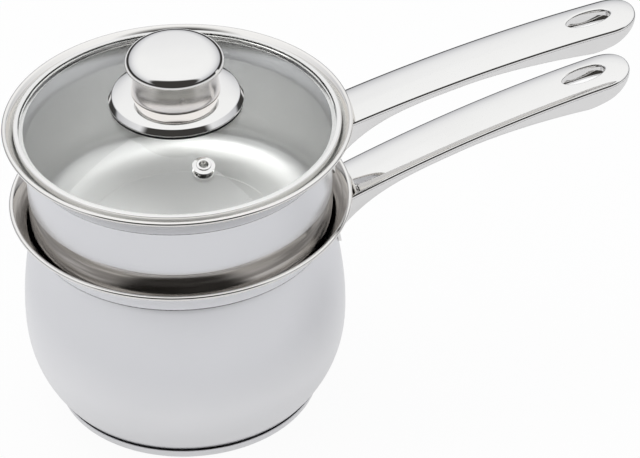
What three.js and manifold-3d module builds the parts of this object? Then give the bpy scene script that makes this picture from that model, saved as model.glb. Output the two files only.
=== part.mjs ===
// A porringer set in stainless steel: a pot-bellied saucepan, a shallow insert pan that rests
// in its flared mouth, and a glass lid with a steel knob. Both pans have hollow steel handles.
// Millimetres, +Z up. The origin is the middle of the base, and the saucepan's handle runs
// along +X.

import * as THREE from "three";
import { mergeVertices } from "three/addons/utils/BufferGeometryUtils.js";
import Module from "manifold-3d";

const wasm = await Module();
wasm.setup();

// Fits and counts
const gap = 0.3; // between two pieces that touch
const overrun = 12; // how far a cutting block runs past what it cuts
const panSegments = 40; // facets round a pan or the lid
const knobSegments = 24; // facets round the knob
const ventSegments = 12; // facets round the vent and the screw
const slotSegments = 16; // facets round a hanging slot
const seatSamples = 1600; // places tried when one piece is set down on another

// Sheet steel and the rolled rim that both pans share
const sheet = 0.8;
const rimRollRadius = 1.3; // outside radius of the rolled edge
const flareEndAngle = THREE.MathUtils.degToRad(50); // slope of the flare where the roll begins
const rollEndAngle = THREE.MathUtils.degToRad(-50); // where the rolled edge stops
const flareSteps = 4;
const rollSteps = 3;

// Saucepan
const potHeight = 120.2; // base to the crest of the rim
const potRimRadius = 88; // the lid, the insert and every other radius of the pans follow it
const potFlareHeight = 15.8; // crest of the rim down to the neck
const potFlareWidth = 11; // neck out to the rim
const potBellyBulge = 6.3; // neck out to the belly
const potBellyHeight = 55;
const potFootTaper = 15.7; // belly in to the foot, where the floor's rounded corner ends
const potFootRise = 2.2; // height of that rounded corner
const potFootWidth = 6.6; // foot in to the flat part of the floor
const bellyLowerPower = 2.5;
const bellyUpperPower = 1.8;
const bellyLowerSteps = 5;
const bellyUpperSteps = 3;
const footSteps = 2;
const potNeckRadius = potRimRadius - potFlareWidth;
const potBellyRadius = potNeckRadius + potBellyBulge;
const potFootRadius = potBellyRadius - potFootTaper;
const potFloorRadius = potFootRadius - potFootWidth;

// Sandwich base of the saucepan: an aluminium core in a steel cap
const capSheet = 0.6;
const coreThickness = 3.6;
const coreEdge = 2; // how far the core stays inside the flat of the floor
const capLipRise = 0.9; // how far the cap's lip stands above the underside of the floor
const capSteps = 3;

// Insert pan
const insertHeight = 67.6;
const insertSeatWidth = 1; // how far the wall stands outside the saucepan's neck, to rest on its flare
const insertFlareHeight = 14.8;
const insertFlareWidth = 11.2;
const insertCornerWidth = 20; // wall in to the flat part of the floor
const insertCornerRise = 12.8; // height of that rounded corner
const insertPanelMargin = 10; // flat part of the floor round its pressed panel
const insertPanelRise = 0.8;
const insertPanelEdge = 1.6;
const insertCornerSteps = 4;
const insertWallRadius = potNeckRadius + insertSeatWidth;
const insertRimRadius = insertWallRadius + insertFlareWidth;
const insertFloorRadius = insertWallRadius - insertCornerWidth;
const insertPanelRadius = insertFloorRadius - insertPanelMargin;

// Handles, measured along the pan's radius
const potHandleLength = 159.5; // root to tip
const insertHandleLength = 156.5;
const insertHandleAngle = THREE.MathUtils.degToRad(-3.7); // the insert sits a little turned
const handleRootInset = 3; // root of the handle's curve outside the neck or wall
const potHandleDrop = 10.5; // crest of the rim down to the handle's edge at its root
const insertHandleDrop = 6.6;
const potHandleRise = 48.5; // from the root to the tip
const insertHandleRise = 41.5;
const handleBowShare = 0.377; // how much of the rise is bowed upwards
const handleSheet = 1.1;
const handleRootHalfWidth = 15;
const handleEndHalfWidth = 14.4;
const handleCrown = 1.6; // the top face is domed
const handleEdgeRadius = 1.6;
const handleBottomRadius = 1.6;
const handleBelly = 0.6; // the underside is a little domed
const handleRootDepth = 18;
const handleWaistDepth = 5.3;
const handleEndDepth = 11.6;
const handleTipDepth = 3.4;
const handleTipLength = 16; // rounded end in plan
const handleTipPower = 2.2;
const seamDrop = 0.5; // seam of the two halves below the rounded edge
const slotFromTip = 24.6;
const slotHalfLength = 11.3;
const slotHalfWidth = 6;
const slotUnderMargin = 6.6; // the hole in the underside is nearly as wide as the handle

// Places along a handle, as shares of its length from root to tip
const waistStartShare = 0.41;
const waistEndShare = 0.44;
const endStartShare = 0.84;
const rootDepthPower = 4;
const endDepthPower = 1.5;
const stationShares = [
  -0.05, 0.0, 0.03, 0.06, 0.1, 0.16, 0.24, 0.34, 0.44, 0.54, 0.64, 0.73, 0.8, 0.86, 0.9, 0.93,
  0.955, 0.975, 0.99, 0.997,
];
const crownShoulderShare = 0.55; // where the domed faces start to fall, as a share of the half width
const crownShoulderRiseShare = 0.7;
const radiusLimitShare = 0.42; // a rounding is at most this share of the depth or the half width

// Bracket that welds each handle to its pan
const bracketSheet = 1.2;
const bracketMargin = 3; // plate beside the handle's root
const bracketHeight = 18.5;
const bracketCorner = 5;
const bracketCornerSteps = 3;
const bracketDrop = 0.8; // below the neck of the flare
const bracketHalfWidth = handleRootHalfWidth + bracketMargin;

// Lid: a domed glass in a steel band
const glassThickness = 3.5;
const domeRise = 15; // edge of the glass to its crown
const bandSetback = 5.9; // insert's rim in to the band
const bandSheet = 0.5;
const bandTopWidth = 2.4;
const bandBottomWidth = 5.6;
const bandCorner = 1.5;
const bandCornerSteps = 2;
const glassRimWidth = 2; // flat edge of the glass inside the band
const domeSteps = 6;
const bandRadius = insertRimRadius - bandSetback;

// Knob, stacked on the crown of the glass
const flangeWidth = 11.8; // neck out to the flange's side
const flangeBevel = 1.8; // side in to the flange's upper edge
const flangeEdgeHeight = 3.7; // height of the flange's rounded side
const flangeRise = 2.2; // from the top of that side to the neck
const flangeSheet = 0.9;
const sealWidth = 5;
const sealSetback = 0.3; // the seal stops just inside the flange
const sealThickness = 1.4; // at its outer edge
const neckRadius = 22.6;
const neckWaist = 0.9; // how far the neck draws in
const neckHeight = 14.6;
const neckSheet = 0.8;
const neckSteps = 5;
const knobOverhang = 2.5; // neck out to the knob's widest point
const knobLipBevel = 1.6; // widest point in to the lip
const knobLipWidth = 3.4; // lip that turns in over the neck
const knobEdgeHeight = 3; // lip up to the widest point
const knobShoulderBevel = 3.1; // widest point in to the shoulder
const knobShoulderRise = 3.2; // widest point up to the shoulder
const knobCrownRise = 3.4; // shoulder up to the crown
const knobSheet = 0.8;
const knobCrownSteps = 3;
const flangeRadius = neckRadius + flangeWidth;
const flangeTopRadius = flangeRadius - flangeBevel;
const knobRadius = neckRadius + knobOverhang;
const knobLipRadius = knobRadius - knobLipBevel;
const knobShoulderRadius = knobRadius - knobShoulderBevel;

// Knob core, screw and washers
const spigotRadius = 6;
const knobCoreRadius = 10;
const screwRadius = 2.5;
const screwLength = 24;
const screwHeadRadius = 4.8;
const screwHeadHeight = 2.6;
const washerRadius = 8;
const washerThickness = 1.2;
const gasketRadius = 9;
const gasketThickness = 1.5;

// Steam vent
const ventFromEdge = 29.3; // edge of the lid in to the vent
const ventAngle = THREE.MathUtils.degToRad(-88.5);
const ventBoreRadius = 2.3;
const ventBarrelRadius = 3;
const ventCollarRadius = 3.7;
const ventCollarHeight = 0.7;
const ventFlangeRadius = 5.7;
const ventFlangeThickness = 0.6;
const ventGasketRadius = 5.2;
const ventGasketThickness = 0.6;
const ventTailRadius = 4.3;
const ventTailThickness = 0.6;
const ventRetainerRadius = 5.4;
const ventFromAxis = bandRadius - ventFromEdge;

function steel(color, roughness) {
  return new THREE.MeshStandardMaterial({ color, roughness, metalness: 1 });
}

const mirrorSteel = steel(0xd4d4d6, 0.12);
const satinSteel = steel(0xc6c6c9, 0.32);
const aluminium = steel(0xa9acb0, 0.45);
const glass = new THREE.MeshStandardMaterial({
  color: 0xe6ecea,
  roughness: 0.05,
  metalness: 0,
  transparent: true,
  opacity: 0.35,
});
const rubber = new THREE.MeshStandardMaterial({ color: 0x161617, roughness: 0.75, metalness: 0 });
const phenolic = new THREE.MeshStandardMaterial({ color: 0x202022, roughness: 0.55, metalness: 0 });

const at = (radius, height) => new THREE.Vector2(radius, height);

// Closed triangle mesh with shared corners and its faces pointing out
function weld(geometry) {
  geometry.deleteAttribute("normal");
  geometry.deleteAttribute("uv");
  const merged = mergeVertices(geometry);
  const position = merged.attributes.position;
  const corner = (index) => new THREE.Vector3().fromBufferAttribute(position, index);
  const kept = [];
  let volume = 0;
  for (let i = 0; i < merged.index.count; i += 3) {
    const [a, b, c] = [merged.index.getX(i), merged.index.getX(i + 1), merged.index.getX(i + 2)];
    if (a === b || b === c || c === a) continue;
    kept.push([a, b, c]);
    volume += corner(a).dot(corner(b).cross(corner(c)));
  }
  merged.setIndex(kept.flatMap(([a, b, c]) => (volume > 0 ? [a, b, c] : [a, c, b])));
  return merged;
}

function toSolid(geometry) {
  const welded = weld(geometry);
  const vertProperties = Float32Array.from(welded.attributes.position.array);
  const triVerts = Uint32Array.from(welded.index.array);
  return new wasm.Manifold(new wasm.Mesh({ numProp: 3, vertProperties, triVerts }));
}

function toGeometry(solid) {
  const mesh = solid.getMesh();
  const geometry = new THREE.BufferGeometry();
  geometry.setAttribute("position", new THREE.BufferAttribute(mesh.vertProperties, 3));
  geometry.setIndex(new THREE.BufferAttribute(mesh.triVerts, 1));
  return weld(geometry);
}

function finish(geometry) {
  const smooth = geometry.clone();
  smooth.computeVertexNormals();
  return smooth;
}

function piece(name, geometry, material) {
  const mesh = new THREE.Mesh(finish(geometry), material);
  mesh.name = name;
  return mesh;
}

// Turned solid about Z from an outline of radius and height
function turned(outline, segments) {
  return weld(new THREE.LatheGeometry(outline, segments).rotateX(Math.PI / 2));
}

function closed(outline) {
  return [...outline, outline[0].clone()];
}

// A line moved sideways: a positive distance moves a pan's line to its outside
function sideLine(path, distance) {
  const normals = path.slice(1).map((point, i) => {
    const along = point.clone().sub(path[i]).normalize();
    return at(along.y, -along.x);
  });
  return path.map((point, i) => {
    const before = normals[Math.max(i - 1, 0)];
    const after = normals[Math.min(i, normals.length - 1)];
    const mitre = before.clone().add(after).normalize();
    const moved = point.clone().addScaledVector(mitre, distance / mitre.dot(before));
    return at(point.x === 0 ? 0 : moved.x, moved.y);
  });
}

// Outline of a sheet of even thickness on both sides of its middle line
function sheetOutline(path, thickness) {
  return [...sideLine(path, thickness / 2), ...sideLine(path, -thickness / 2).reverse()];
}

function arc(centre, radiusX, radiusY, from, to, steps) {
  return new THREE.EllipseCurve(centre.x, centre.y, radiusX, radiusY, from, to, to < from).getPoints(steps);
}

// Highest point of a line at a radius, or nothing
function heightAt(line, radius) {
  let best = -Infinity;
  for (let i = 1; i < line.length; i += 1) {
    const [a, b] = [line[i - 1], line[i]];
    if ((a.x - radius) * (b.x - radius) > 0 || a.x === b.x) continue;
    best = Math.max(best, a.y + ((b.y - a.y) * (radius - a.x)) / (b.x - a.x));
  }
  return best;
}

// How far a turned piece is lifted to rest on a turned seat with the usual gap
function restingHeight(line, seat) {
  const samples = new THREE.Path(line).getSpacedPoints(seatSamples);
  return Math.max(...samples.map((point) => heightAt(seat, point.x + gap) - point.y)) + gap;
}

// Flared mouth and rolled rim of a pan, as the middle line of the sheet
function flareLine(wallRadius, neckHeight, rimRadius, rimHeight) {
  const rollRadius = rimRollRadius - sheet / 2;
  const centre = at(rimRadius - rimRollRadius, rimHeight - rimRollRadius);
  const startAngle = flareEndAngle + Math.PI / 2;
  const roll = arc(centre, rollRadius, rollRadius, startAngle, rollEndAngle, rollSteps);
  const start = roll[0];
  const control = at(wallRadius, start.y - (start.x - wallRadius) * Math.tan(flareEndAngle));
  const flare = new THREE.QuadraticBezierCurve(at(wallRadius, neckHeight), control, start);
  return [...flare.getPoints(flareSteps), ...roll.slice(1)];
}

// Saucepan wall between the foot and the neck
function bellyLine(footHeight, neckHeight) {
  const wall = sheet / 2;
  const points = [];
  for (let i = 1; i <= bellyLowerSteps; i += 1) {
    const up = i / bellyLowerSteps;
    const out = 1 - (1 - up) ** bellyLowerPower;
    const radius = potFootRadius + (potBellyRadius - potFootRadius) * out - wall;
    points.push(at(radius, footHeight + (potBellyHeight - footHeight) * up));
  }
  for (let i = 1; i < bellyUpperSteps; i += 1) {
    const up = i / bellyUpperSteps;
    const radius = potBellyRadius - (potBellyRadius - potNeckRadius) * up ** bellyUpperPower - wall;
    points.push(at(radius, potBellyHeight + (neckHeight - potBellyHeight) * up));
  }
  return points;
}

const wallMiddle = sheet / 2;
const potFloorHeight = capSheet + gap + coreThickness + gap; // underside of the floor
const potNeckHeight = potHeight - potFlareHeight;
const potFootHeight = potFloorHeight + potFootRise;

function potLine() {
  const floor = potFloorHeight + wallMiddle;
  const foot = at(potFootRadius - wallMiddle, potFootHeight + wallMiddle);
  const cornerControl = at(foot.x - wallMiddle - potFootRise / 2, floor);
  const corner = new THREE.QuadraticBezierCurve(at(potFloorRadius, floor), cornerControl, foot);
  return [
    at(0, floor),
    ...corner.getPoints(footSteps),
    ...bellyLine(foot.y, potNeckHeight),
    ...flareLine(potNeckRadius - wallMiddle, potNeckHeight, potRimRadius, potHeight),
  ];
}

function insertLine() {
  const wall = insertWallRadius - wallMiddle;
  const centre = at(insertFloorRadius, wallMiddle + insertCornerRise);
  return [
    at(0, wallMiddle + insertPanelRise),
    at(insertPanelRadius, wallMiddle + insertPanelRise),
    at(insertPanelRadius + insertPanelEdge, wallMiddle),
    ...arc(centre, wall - insertFloorRadius, insertCornerRise, -Math.PI / 2, 0, insertCornerSteps),
    ...flareLine(wall, insertHeight - insertFlareHeight, insertRimRadius, insertHeight),
  ];
}

// Extruded outline of a plane shape, from one height to another along Z
function prism(shape, low, high) {
  const geometry = new THREE.ExtrudeGeometry(shape, { depth: high - low, bevelEnabled: false });
  return geometry.translate(0, 0, low);
}

function roundedRectangle(halfWidth, halfHeight, radius) {
  const [w, h, quarter] = [halfWidth - radius, halfHeight - radius, Math.PI / 2];
  const shape = new THREE.Shape();
  shape.absarc(w, h, radius, 0, quarter);
  shape.absarc(-w, h, radius, quarter, 2 * quarter);
  shape.absarc(-w, -h, radius, 2 * quarter, 3 * quarter);
  shape.absarc(w, -h, radius, 3 * quarter, 4 * quarter);
  return new THREE.Shape(shape.getPoints(bracketCornerSteps));
}

// Plate of the given reach off a pan's outside, as wide and high as the bracket plus a margin
function plateBlock(outside, middle, from, to, margin) {
  const loop = [...sideLine(outside, from), ...sideLine(outside, to).reverse()];
  const shell = toSolid(turned(closed(loop), panSegments));
  const height = bracketHeight / 2 + margin;
  const outline = roundedRectangle(height, bracketHalfWidth + margin, bracketCorner + margin);
  const reach = potBellyRadius + insertWallRadius;
  const window = prism(outline, 0, reach).rotateY(Math.PI / 2).translate(0, 0, middle);
  return shell.intersect(toSolid(window));
}

// Solid body through rings of equal point counts, with flat ends
function loft(rings) {
  const count = rings[0].length;
  const positions = rings.flat().flatMap((point) => point.toArray());
  const faces = [];
  for (let i = 1; i < rings.length; i += 1) {
    for (let j = 0; j < count; j += 1) {
      const [a, b] = [(i - 1) * count + j, (i - 1) * count + ((j + 1) % count)];
      const [c, d] = [a + count, b + count];
      faces.push(a, b, d, a, d, c);
    }
  }
  const last = (rings.length - 1) * count;
  for (let j = 1; j < count - 1; j += 1) {
    faces.push(0, j + 1, j, last, last + j, last + j + 1);
  }
  const geometry = new THREE.BufferGeometry();
  geometry.setAttribute("position", new THREE.Float32BufferAttribute(positions, 3));
  geometry.setIndex(faces);
  return toSolid(geometry);
}

// Sizes of a handle along its length, from its root radius, length, edge height there and rise
function handleForm(root, length, rootEdge, rise) {
  const reach = root + length;
  const edge = (x) => {
    const share = (x - root) / length;
    return rootEdge + rise * ((1 + handleBowShare) * share - handleBowShare * share * share);
  };
  const depth = (x) => {
    const share = (x - root) / length;
    if (share < waistStartShare) {
      const left = 1 - Math.max(share, 0) / waistStartShare;
      return handleWaistDepth + (handleRootDepth - handleWaistDepth) * left ** rootDepthPower;
    }
    if (share < endStartShare) {
      const along = Math.max(share - waistEndShare, 0) / (endStartShare - waistEndShare);
      return handleWaistDepth + (handleEndDepth - handleWaistDepth) * along ** endDepthPower;
    }
    const along = (share - endStartShare) / (1 - endStartShare);
    return handleTipDepth + (handleEndDepth - handleTipDepth) * (1 - along * along);
  };
  const halfWidth = (x) => {
    const share = Math.max(x - root, 0) / length;
    const straight = handleRootHalfWidth + (handleEndHalfWidth - handleRootHalfWidth) * share;
    const along = Math.max(x - reach + handleTipLength, 0) / handleTipLength;
    return straight * (1 - along ** handleTipPower) ** (1 / handleTipPower);
  };
  const stations = stationShares.map((share) => root + length * share);
  return { root, reach, edge, depth, halfWidth, stations };
}

// Cross-section of a handle at x, drawn in by an inset for the hollow inside
function handleRing(form, x, station, inset) {
  const halfWidth = form.halfWidth(x) - inset;
  const depth = form.depth(x) - inset;
  const limit = Math.min(depth - inset, halfWidth) * radiusLimitShare;
  const top = Math.max(Math.min(handleEdgeRadius - inset / 2, limit), 0);
  const foot = Math.max(Math.min(handleBottomRadius - inset / 2, limit), 0);
  const crown = handleCrown;
  const slant = Math.SQRT1_2;
  const half = [
    [crownShoulderShare * halfWidth, crownShoulderRiseShare * crown - inset],
    [halfWidth - top, -inset],
    [halfWidth - top + top * slant, -inset - top + top * slant],
    [halfWidth, -inset - top],
    [halfWidth, foot - depth],
    [halfWidth - foot + foot * slant, foot - depth - foot * slant],
    [halfWidth - foot, -depth],
  ];
  const section = [
    [0, crown - inset],
    ...half,
    [0, -depth - handleBelly],
    ...half.map(([y, z]) => [-y, z]).reverse(),
  ];
  const edge = form.edge(x);
  return section.map(([y, z]) => new THREE.Vector3(station, y, edge + z));
}

function handleBody(form, inset) {
  const rings = form.stations.map((x) => {
    const share = (x - form.root) / (form.reach - form.root);
    return handleRing(form, x, x - inset * Math.max(Math.sign(share), 0) * share, inset);
  });
  return loft(rings);
}

// Block over or under the seam of a handle's two halves
function seamBlock(form, from, to) {
  const side = handleRootHalfWidth + overrun;
  const [before, beyond] = [form.root - overrun, form.reach + overrun];
  const places = [before, ...form.stations.slice(1), beyond];
  return loft(
    places.map((x) => {
      const seam = form.edge(x) - handleEdgeRadius - seamDrop;
      return [
        new THREE.Vector3(x, -side, seam + from),
        new THREE.Vector3(x, side, seam + from),
        new THREE.Vector3(x, side, seam + to),
        new THREE.Vector3(x, -side, seam + to),
      ];
    }),
  );
}

function slotPrism(form, margin) {
  const middle = form.reach - slotFromTip;
  const curve = new THREE.EllipseCurve(middle, 0, slotHalfLength + margin, slotHalfWidth + margin);
  const shape = new THREE.Shape(curve.getPoints(slotSegments).slice(0, slotSegments));
  const edge = form.edge(middle);
  return toSolid(prism(shape, edge - handleEndDepth - overrun, edge + overrun));
}

// Two pressed halves of a hollow handle, trimmed where they meet the pan and its bracket. The top half
// turns down into the slot, and the hole in the bottom half stays clear of it.
function handleHalves(form, trims) {
  const hollow = handleBody(form, handleSheet).subtract(slotPrism(form, handleSheet));
  let skin = handleBody(form, 0).subtract(hollow).subtract(slotPrism(form, 0));
  for (const trim of trims) skin = skin.subtract(trim);
  const reach = handleRootDepth + overrun;
  const top = skin.intersect(seamBlock(form, gap / 2, reach));
  const below = skin.intersect(seamBlock(form, -reach, -gap / 2));
  const bottom = below.subtract(slotPrism(form, slotUnderMargin));
  return { top: toGeometry(top), bottom: toGeometry(bottom) };
}

// Handle and bracket of one pan, along +X, from the outside line of the pan
function handleSet({ name, outside, neckHeight, wallRadius, length, rootEdge, rise }) {
  const form = handleForm(wallRadius + handleRootInset, length, rootEdge, rise);
  const middle = neckHeight - bracketDrop - bracketHeight / 2;
  const bracket = plateBlock(outside, middle, gap, gap + bracketSheet, 0);
  const room = plateBlock(outside, middle, 0, gap + bracketSheet + gap, gap);
  const rim = outside[outside.length - 1];
  const body = [at(0, outside[0].y - gap), ...sideLine(outside, gap).slice(1), at(0, rim.y)];
  const halves = handleHalves(form, [room, toSolid(turned(body, panSegments))]);
  const group = new THREE.Group();
  group.add(
    piece(`${name}_handle_top`, halves.top, mirrorSteel),
    piece(`${name}_handle_bottom`, halves.bottom, mirrorSteel),
    piece(`${name}_handle_bracket`, toGeometry(bracket), mirrorSteel),
  );
  return group;
}

// Saucepan

function baseCap() {
  const lip = at(potFootRadius + gap + capSheet / 2, potFloorHeight + capLipRise);
  const flat = potFloorRadius;
  const side = new THREE.QuadraticBezierCurve(at(flat, capSheet / 2), at(lip.x - gap, capSheet / 2), lip);
  const path = [at(0, capSheet / 2), ...side.getPoints(capSteps)];
  return turned(sheetOutline(path, capSheet), panSegments);
}

function baseCore() {
  const radius = potFloorRadius - coreEdge;
  const low = capSheet + gap;
  const high = low + coreThickness;
  return turned([at(0, low), at(radius, low), at(radius, high), at(0, high)], panSegments);
}

function saucepan() {
  const path = potLine();
  const group = new THREE.Group();
  group.add(
    piece("pot_body", turned(sheetOutline(path, sheet), panSegments), satinSteel),
    piece("pot_base_core", baseCore(), aluminium),
    piece("pot_base_cap", baseCap(), mirrorSteel),
    handleSet({
      name: "pot",
      outside: sideLine(path, wallMiddle),
      neckHeight: potNeckHeight,
      wallRadius: potNeckRadius,
      length: potHandleLength,
      rootEdge: potHeight - potHandleDrop,
      rise: potHandleRise,
    }),
  );
  return group;
}

// Insert pan

function insertPan() {
  const path = insertLine();
  const handle = handleSet({
    name: "insert",
    outside: sideLine(path, wallMiddle),
    neckHeight: insertHeight - insertFlareHeight,
    wallRadius: insertWallRadius,
    length: insertHandleLength,
    rootEdge: insertHeight - insertHandleDrop,
    rise: insertHandleRise,
  });
  handle.rotation.z = insertHandleAngle;
  const group = new THREE.Group();
  group.add(piece("insert_body", turned(sheetOutline(path, sheet), panSegments), satinSteel), handle);
  return group;
}

// Lid, with its band's underside at height zero

const bandHeight = 2 * (bandSheet + gap) + glassThickness;
const glassEdgeTop = bandSheet + gap + glassThickness; // top of the glass at its edge
const glassRadius = bandRadius - bandCorner; // inside the band's rounded corner
const domeRadius = glassRadius - glassRimWidth;
const sphereRadius = (domeRadius * domeRadius + domeRise * domeRise) / (2 * domeRise);
const crownHeight = glassEdgeTop + domeRise; // top of the glass at its middle
const domeDrop = (radius) => sphereRadius - Math.sqrt(sphereRadius * sphereRadius - radius * radius);

function bandOutline() {
  const inner = bandRadius - bandSheet;
  const centre = at(bandRadius - bandCorner, bandCorner);
  return [
    at(bandRadius - bandBottomWidth, 0),
    ...arc(centre, bandCorner, bandCorner, -Math.PI / 2, 0, bandCornerSteps),
    at(bandRadius, bandHeight - bandSheet),
    at(bandRadius - bandSheet, bandHeight),
    at(bandRadius - bandTopWidth, bandHeight),
    at(bandRadius - bandTopWidth, bandHeight - bandSheet),
    at(inner, bandHeight - bandSheet),
    at(inner, bandCorner),
    at(bandRadius - bandCorner, bandSheet),
    at(bandRadius - bandBottomWidth, bandSheet),
  ];
}

// Frame of the steam vent: out along the dome's own normal
function ventFrame() {
  const tilt = Math.asin(ventFromAxis / sphereRadius);
  const frame = new THREE.Group();
  frame.position.set(ventFromAxis, 0, crownHeight - domeDrop(ventFromAxis));
  frame.rotation.y = tilt;
  const turnedFrame = new THREE.Group();
  turnedFrame.rotation.z = ventAngle;
  turnedFrame.add(frame);
  turnedFrame.updateMatrixWorld(true);
  return { frame, group: turnedFrame };
}

// Glass between its screw hole and its flat edge
function lidGlass(vent) {
  const screwHole = screwRadius + gap;
  const middle = glassThickness / 2;
  const dome = [];
  for (let i = 0; i <= domeSteps; i += 1) {
    const radius = screwHole + ((domeRadius - screwHole) * i) / domeSteps;
    dome.push(at(radius, crownHeight - middle - domeDrop(radius)));
  }
  const path = [...dome, at(glassRadius, dome[domeSteps].y)];
  const outline = [...sideLine(path, middle), ...sideLine(path, -middle).reverse()];
  const low = outline[0];
  const high = outline[outline.length - 1];
  low.x = screwHole;
  high.x = screwHole;
  const dish = toSolid(turned(closed(outline), panSegments));
  const bore = new THREE.CylinderGeometry(1, 1, 1, ventSegments).rotateX(Math.PI / 2);
  const hole = ventBarrelRadius + gap;
  bore.scale(hole, hole, 2 * overrun).applyMatrix4(vent.frame.matrixWorld);
  return toGeometry(dish.subtract(toSolid(bore)));
}

// Knob stack: heights above the crown of the glass
const flangeEdgeBottom = sealThickness + gap - domeDrop(flangeRadius) + gap;
const flangeEdgeTop = flangeEdgeBottom + flangeEdgeHeight;
const flangeTop = flangeEdgeTop + flangeRise;
const neckBottom = flangeTop + gap;
const neckTop = neckBottom + neckHeight;
const knobLip = neckTop + gap;
const knobEdge = knobLip + knobEdgeHeight;
const knobShoulder = knobEdge + knobShoulderRise;
const knobCrown = knobShoulder + knobCrownRise;

function onCrown(outline) {
  return outline.map((point) => at(point.x, point.y + crownHeight));
}

function flangeOutline() {
  const path = [
    at(spigotRadius + gap, flangeTop - flangeSheet / 2),
    at(neckRadius, flangeTop - flangeSheet / 2),
    at(flangeTopRadius - flangeSheet / 2, flangeEdgeTop - flangeSheet / 2),
    at(flangeRadius - flangeSheet / 2, flangeEdgeTop - flangeEdgeHeight / 2),
    at(flangeRadius - flangeSheet / 2, flangeEdgeBottom),
  ];
  return sheetOutline(path, flangeSheet);
}

// Rubber ring with its underside on the dome
function sealOutline() {
  const outer = flangeRadius - sealSetback;
  const inner = outer - sealWidth;
  const top = flangeEdgeBottom - gap;
  return [
    at(inner, gap - domeDrop(inner)),
    at(outer, gap - domeDrop(outer)),
    at(outer, top),
    at(inner, top),
  ];
}

function neckOutline() {
  const outer = [];
  for (let i = 0; i <= neckSteps; i += 1) {
    const up = i / neckSteps;
    const waist = neckWaist * Math.sin(Math.PI * up);
    outer.push(at(neckRadius - waist, neckBottom + neckHeight * up));
  }
  const inner = outer.map((point) => at(point.x - neckSheet, point.y)).reverse();
  return [...outer, ...inner];
}

function knobCapOutline() {
  const half = knobSheet / 2;
  const crown = [];
  for (let i = 0; i < knobCrownSteps; i += 1) {
    const out = i / knobCrownSteps;
    crown.push(at(knobShoulderRadius * out, knobCrown - half - knobCrownRise * out * out));
  }
  const path = [
    ...crown,
    at(knobShoulderRadius, knobShoulder - half),
    at(knobRadius - half, knobEdge),
    at(knobLipRadius - half, knobLip + half),
    at(knobLipRadius - knobLipWidth, knobLip + half),
  ];
  return sheetOutline(path, knobSheet);
}

// Moulded core that carries the knob on the glass and takes the screw
function knobCoreOutline() {
  const bore = screwRadius + gap;
  const boreTop = screwLength - glassThickness - gasketThickness - washerThickness;
  const top = knobCrown - knobSheet - knobCrownRise * (knobCoreRadius / knobShoulderRadius) ** 2 - 2 * gap;
  return [
    at(0, boreTop),
    at(bore, boreTop),
    at(bore, gap),
    at(spigotRadius, gap),
    at(spigotRadius, flangeTop + gap),
    at(knobCoreRadius, flangeTop + gap),
    at(knobCoreRadius, top),
    at(0, top),
  ];
}

function ring(inner, outer, low, high) {
  return closed([at(inner, low), at(outer, low), at(outer, high), at(inner, high)]);
}

function fasteners() {
  const hole = screwRadius + gap;
  const gasketTop = -glassThickness - gap;
  const washerTop = gasketTop - gasketThickness - gap;
  const headTop = washerTop - washerThickness - gap;
  const gasket = ring(hole, gasketRadius, gasketTop - gasketThickness, gasketTop);
  const washer = ring(hole, washerRadius, washerTop - washerThickness, washerTop);
  const screw = [
    at(0, headTop - screwHeadHeight),
    at(screwHeadRadius / 2, headTop - screwHeadHeight),
    at(screwHeadRadius, headTop - screwHeadHeight / 3),
    at(screwHeadRadius, headTop),
    at(screwRadius, headTop),
    at(screwRadius, headTop + screwLength),
    at(0, headTop + screwLength),
  ];
  return [
    piece("screw_gasket", turned(onCrown(gasket), knobSegments), rubber),
    piece("screw_washer", turned(onCrown(washer), knobSegments), mirrorSteel),
    piece("lid_screw", turned(onCrown(screw), ventSegments), mirrorSteel),
  ];
}

// Steam vent on the glass: eyelet through gasket, glass and retainer
function ventPieces() {
  const flangeLow = gap + ventGasketThickness + gap;
  const tailHigh = -glassThickness - gap - ventTailThickness - gap;
  const collarTop = flangeLow + ventFlangeThickness + ventCollarHeight;
  const eyelet = closed([
    at(ventBoreRadius, tailHigh - ventTailThickness),
    at(ventTailRadius, tailHigh - ventTailThickness),
    at(ventTailRadius, tailHigh),
    at(ventBarrelRadius, tailHigh),
    at(ventBarrelRadius, flangeLow),
    at(ventFlangeRadius, flangeLow),
    at(ventCollarRadius, flangeLow + ventFlangeThickness),
    at(ventCollarRadius, collarTop),
    at(ventBoreRadius, collarTop),
  ]);
  const hole = ventBarrelRadius + gap;
  const gasket = ring(hole, ventGasketRadius, gap, gap + ventGasketThickness);
  const retainerTop = -glassThickness - gap;
  const retainer = ring(hole, ventRetainerRadius, retainerTop - ventTailThickness, retainerTop);
  return [
    piece("vent_eyelet", turned(eyelet, ventSegments), mirrorSteel),
    piece("vent_gasket", turned(gasket, ventSegments), rubber),
    piece("vent_retainer", turned(retainer, ventSegments), mirrorSteel),
  ];
}

function lid() {
  const vent = ventFrame();
  vent.frame.add(...ventPieces());
  const group = new THREE.Group();
  group.add(
    piece("lid_glass", lidGlass(vent), glass),
    piece("lid_band", turned(closed(bandOutline()), panSegments), mirrorSteel),
    piece("knob_flange", turned(onCrown(closed(flangeOutline())), knobSegments), mirrorSteel),
    piece("knob_seal", turned(onCrown(closed(sealOutline())), knobSegments), rubber),
    piece("knob_neck", turned(onCrown(closed(neckOutline())), knobSegments), mirrorSteel),
    piece("knob_cap", turned(onCrown(knobCapOutline()), knobSegments), mirrorSteel),
    piece("knob_core", turned(onCrown(knobCoreOutline()), knobSegments), phenolic),
    ...fasteners(),
    vent.group,
  );
  return group;
}

// Assembly: the insert rests in the saucepan's flare and the lid in the insert's

const insertSeat = restingHeight(sideLine(insertLine(), wallMiddle), sideLine(potLine(), -wallMiddle));
const lidSeat = restingHeight(bandOutline(), sideLine(insertLine(), -wallMiddle));

const insertAssembly = insertPan();
insertAssembly.position.z = insertSeat;
const lidAssembly = lid();
lidAssembly.position.z = insertSeat + lidSeat;

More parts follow.
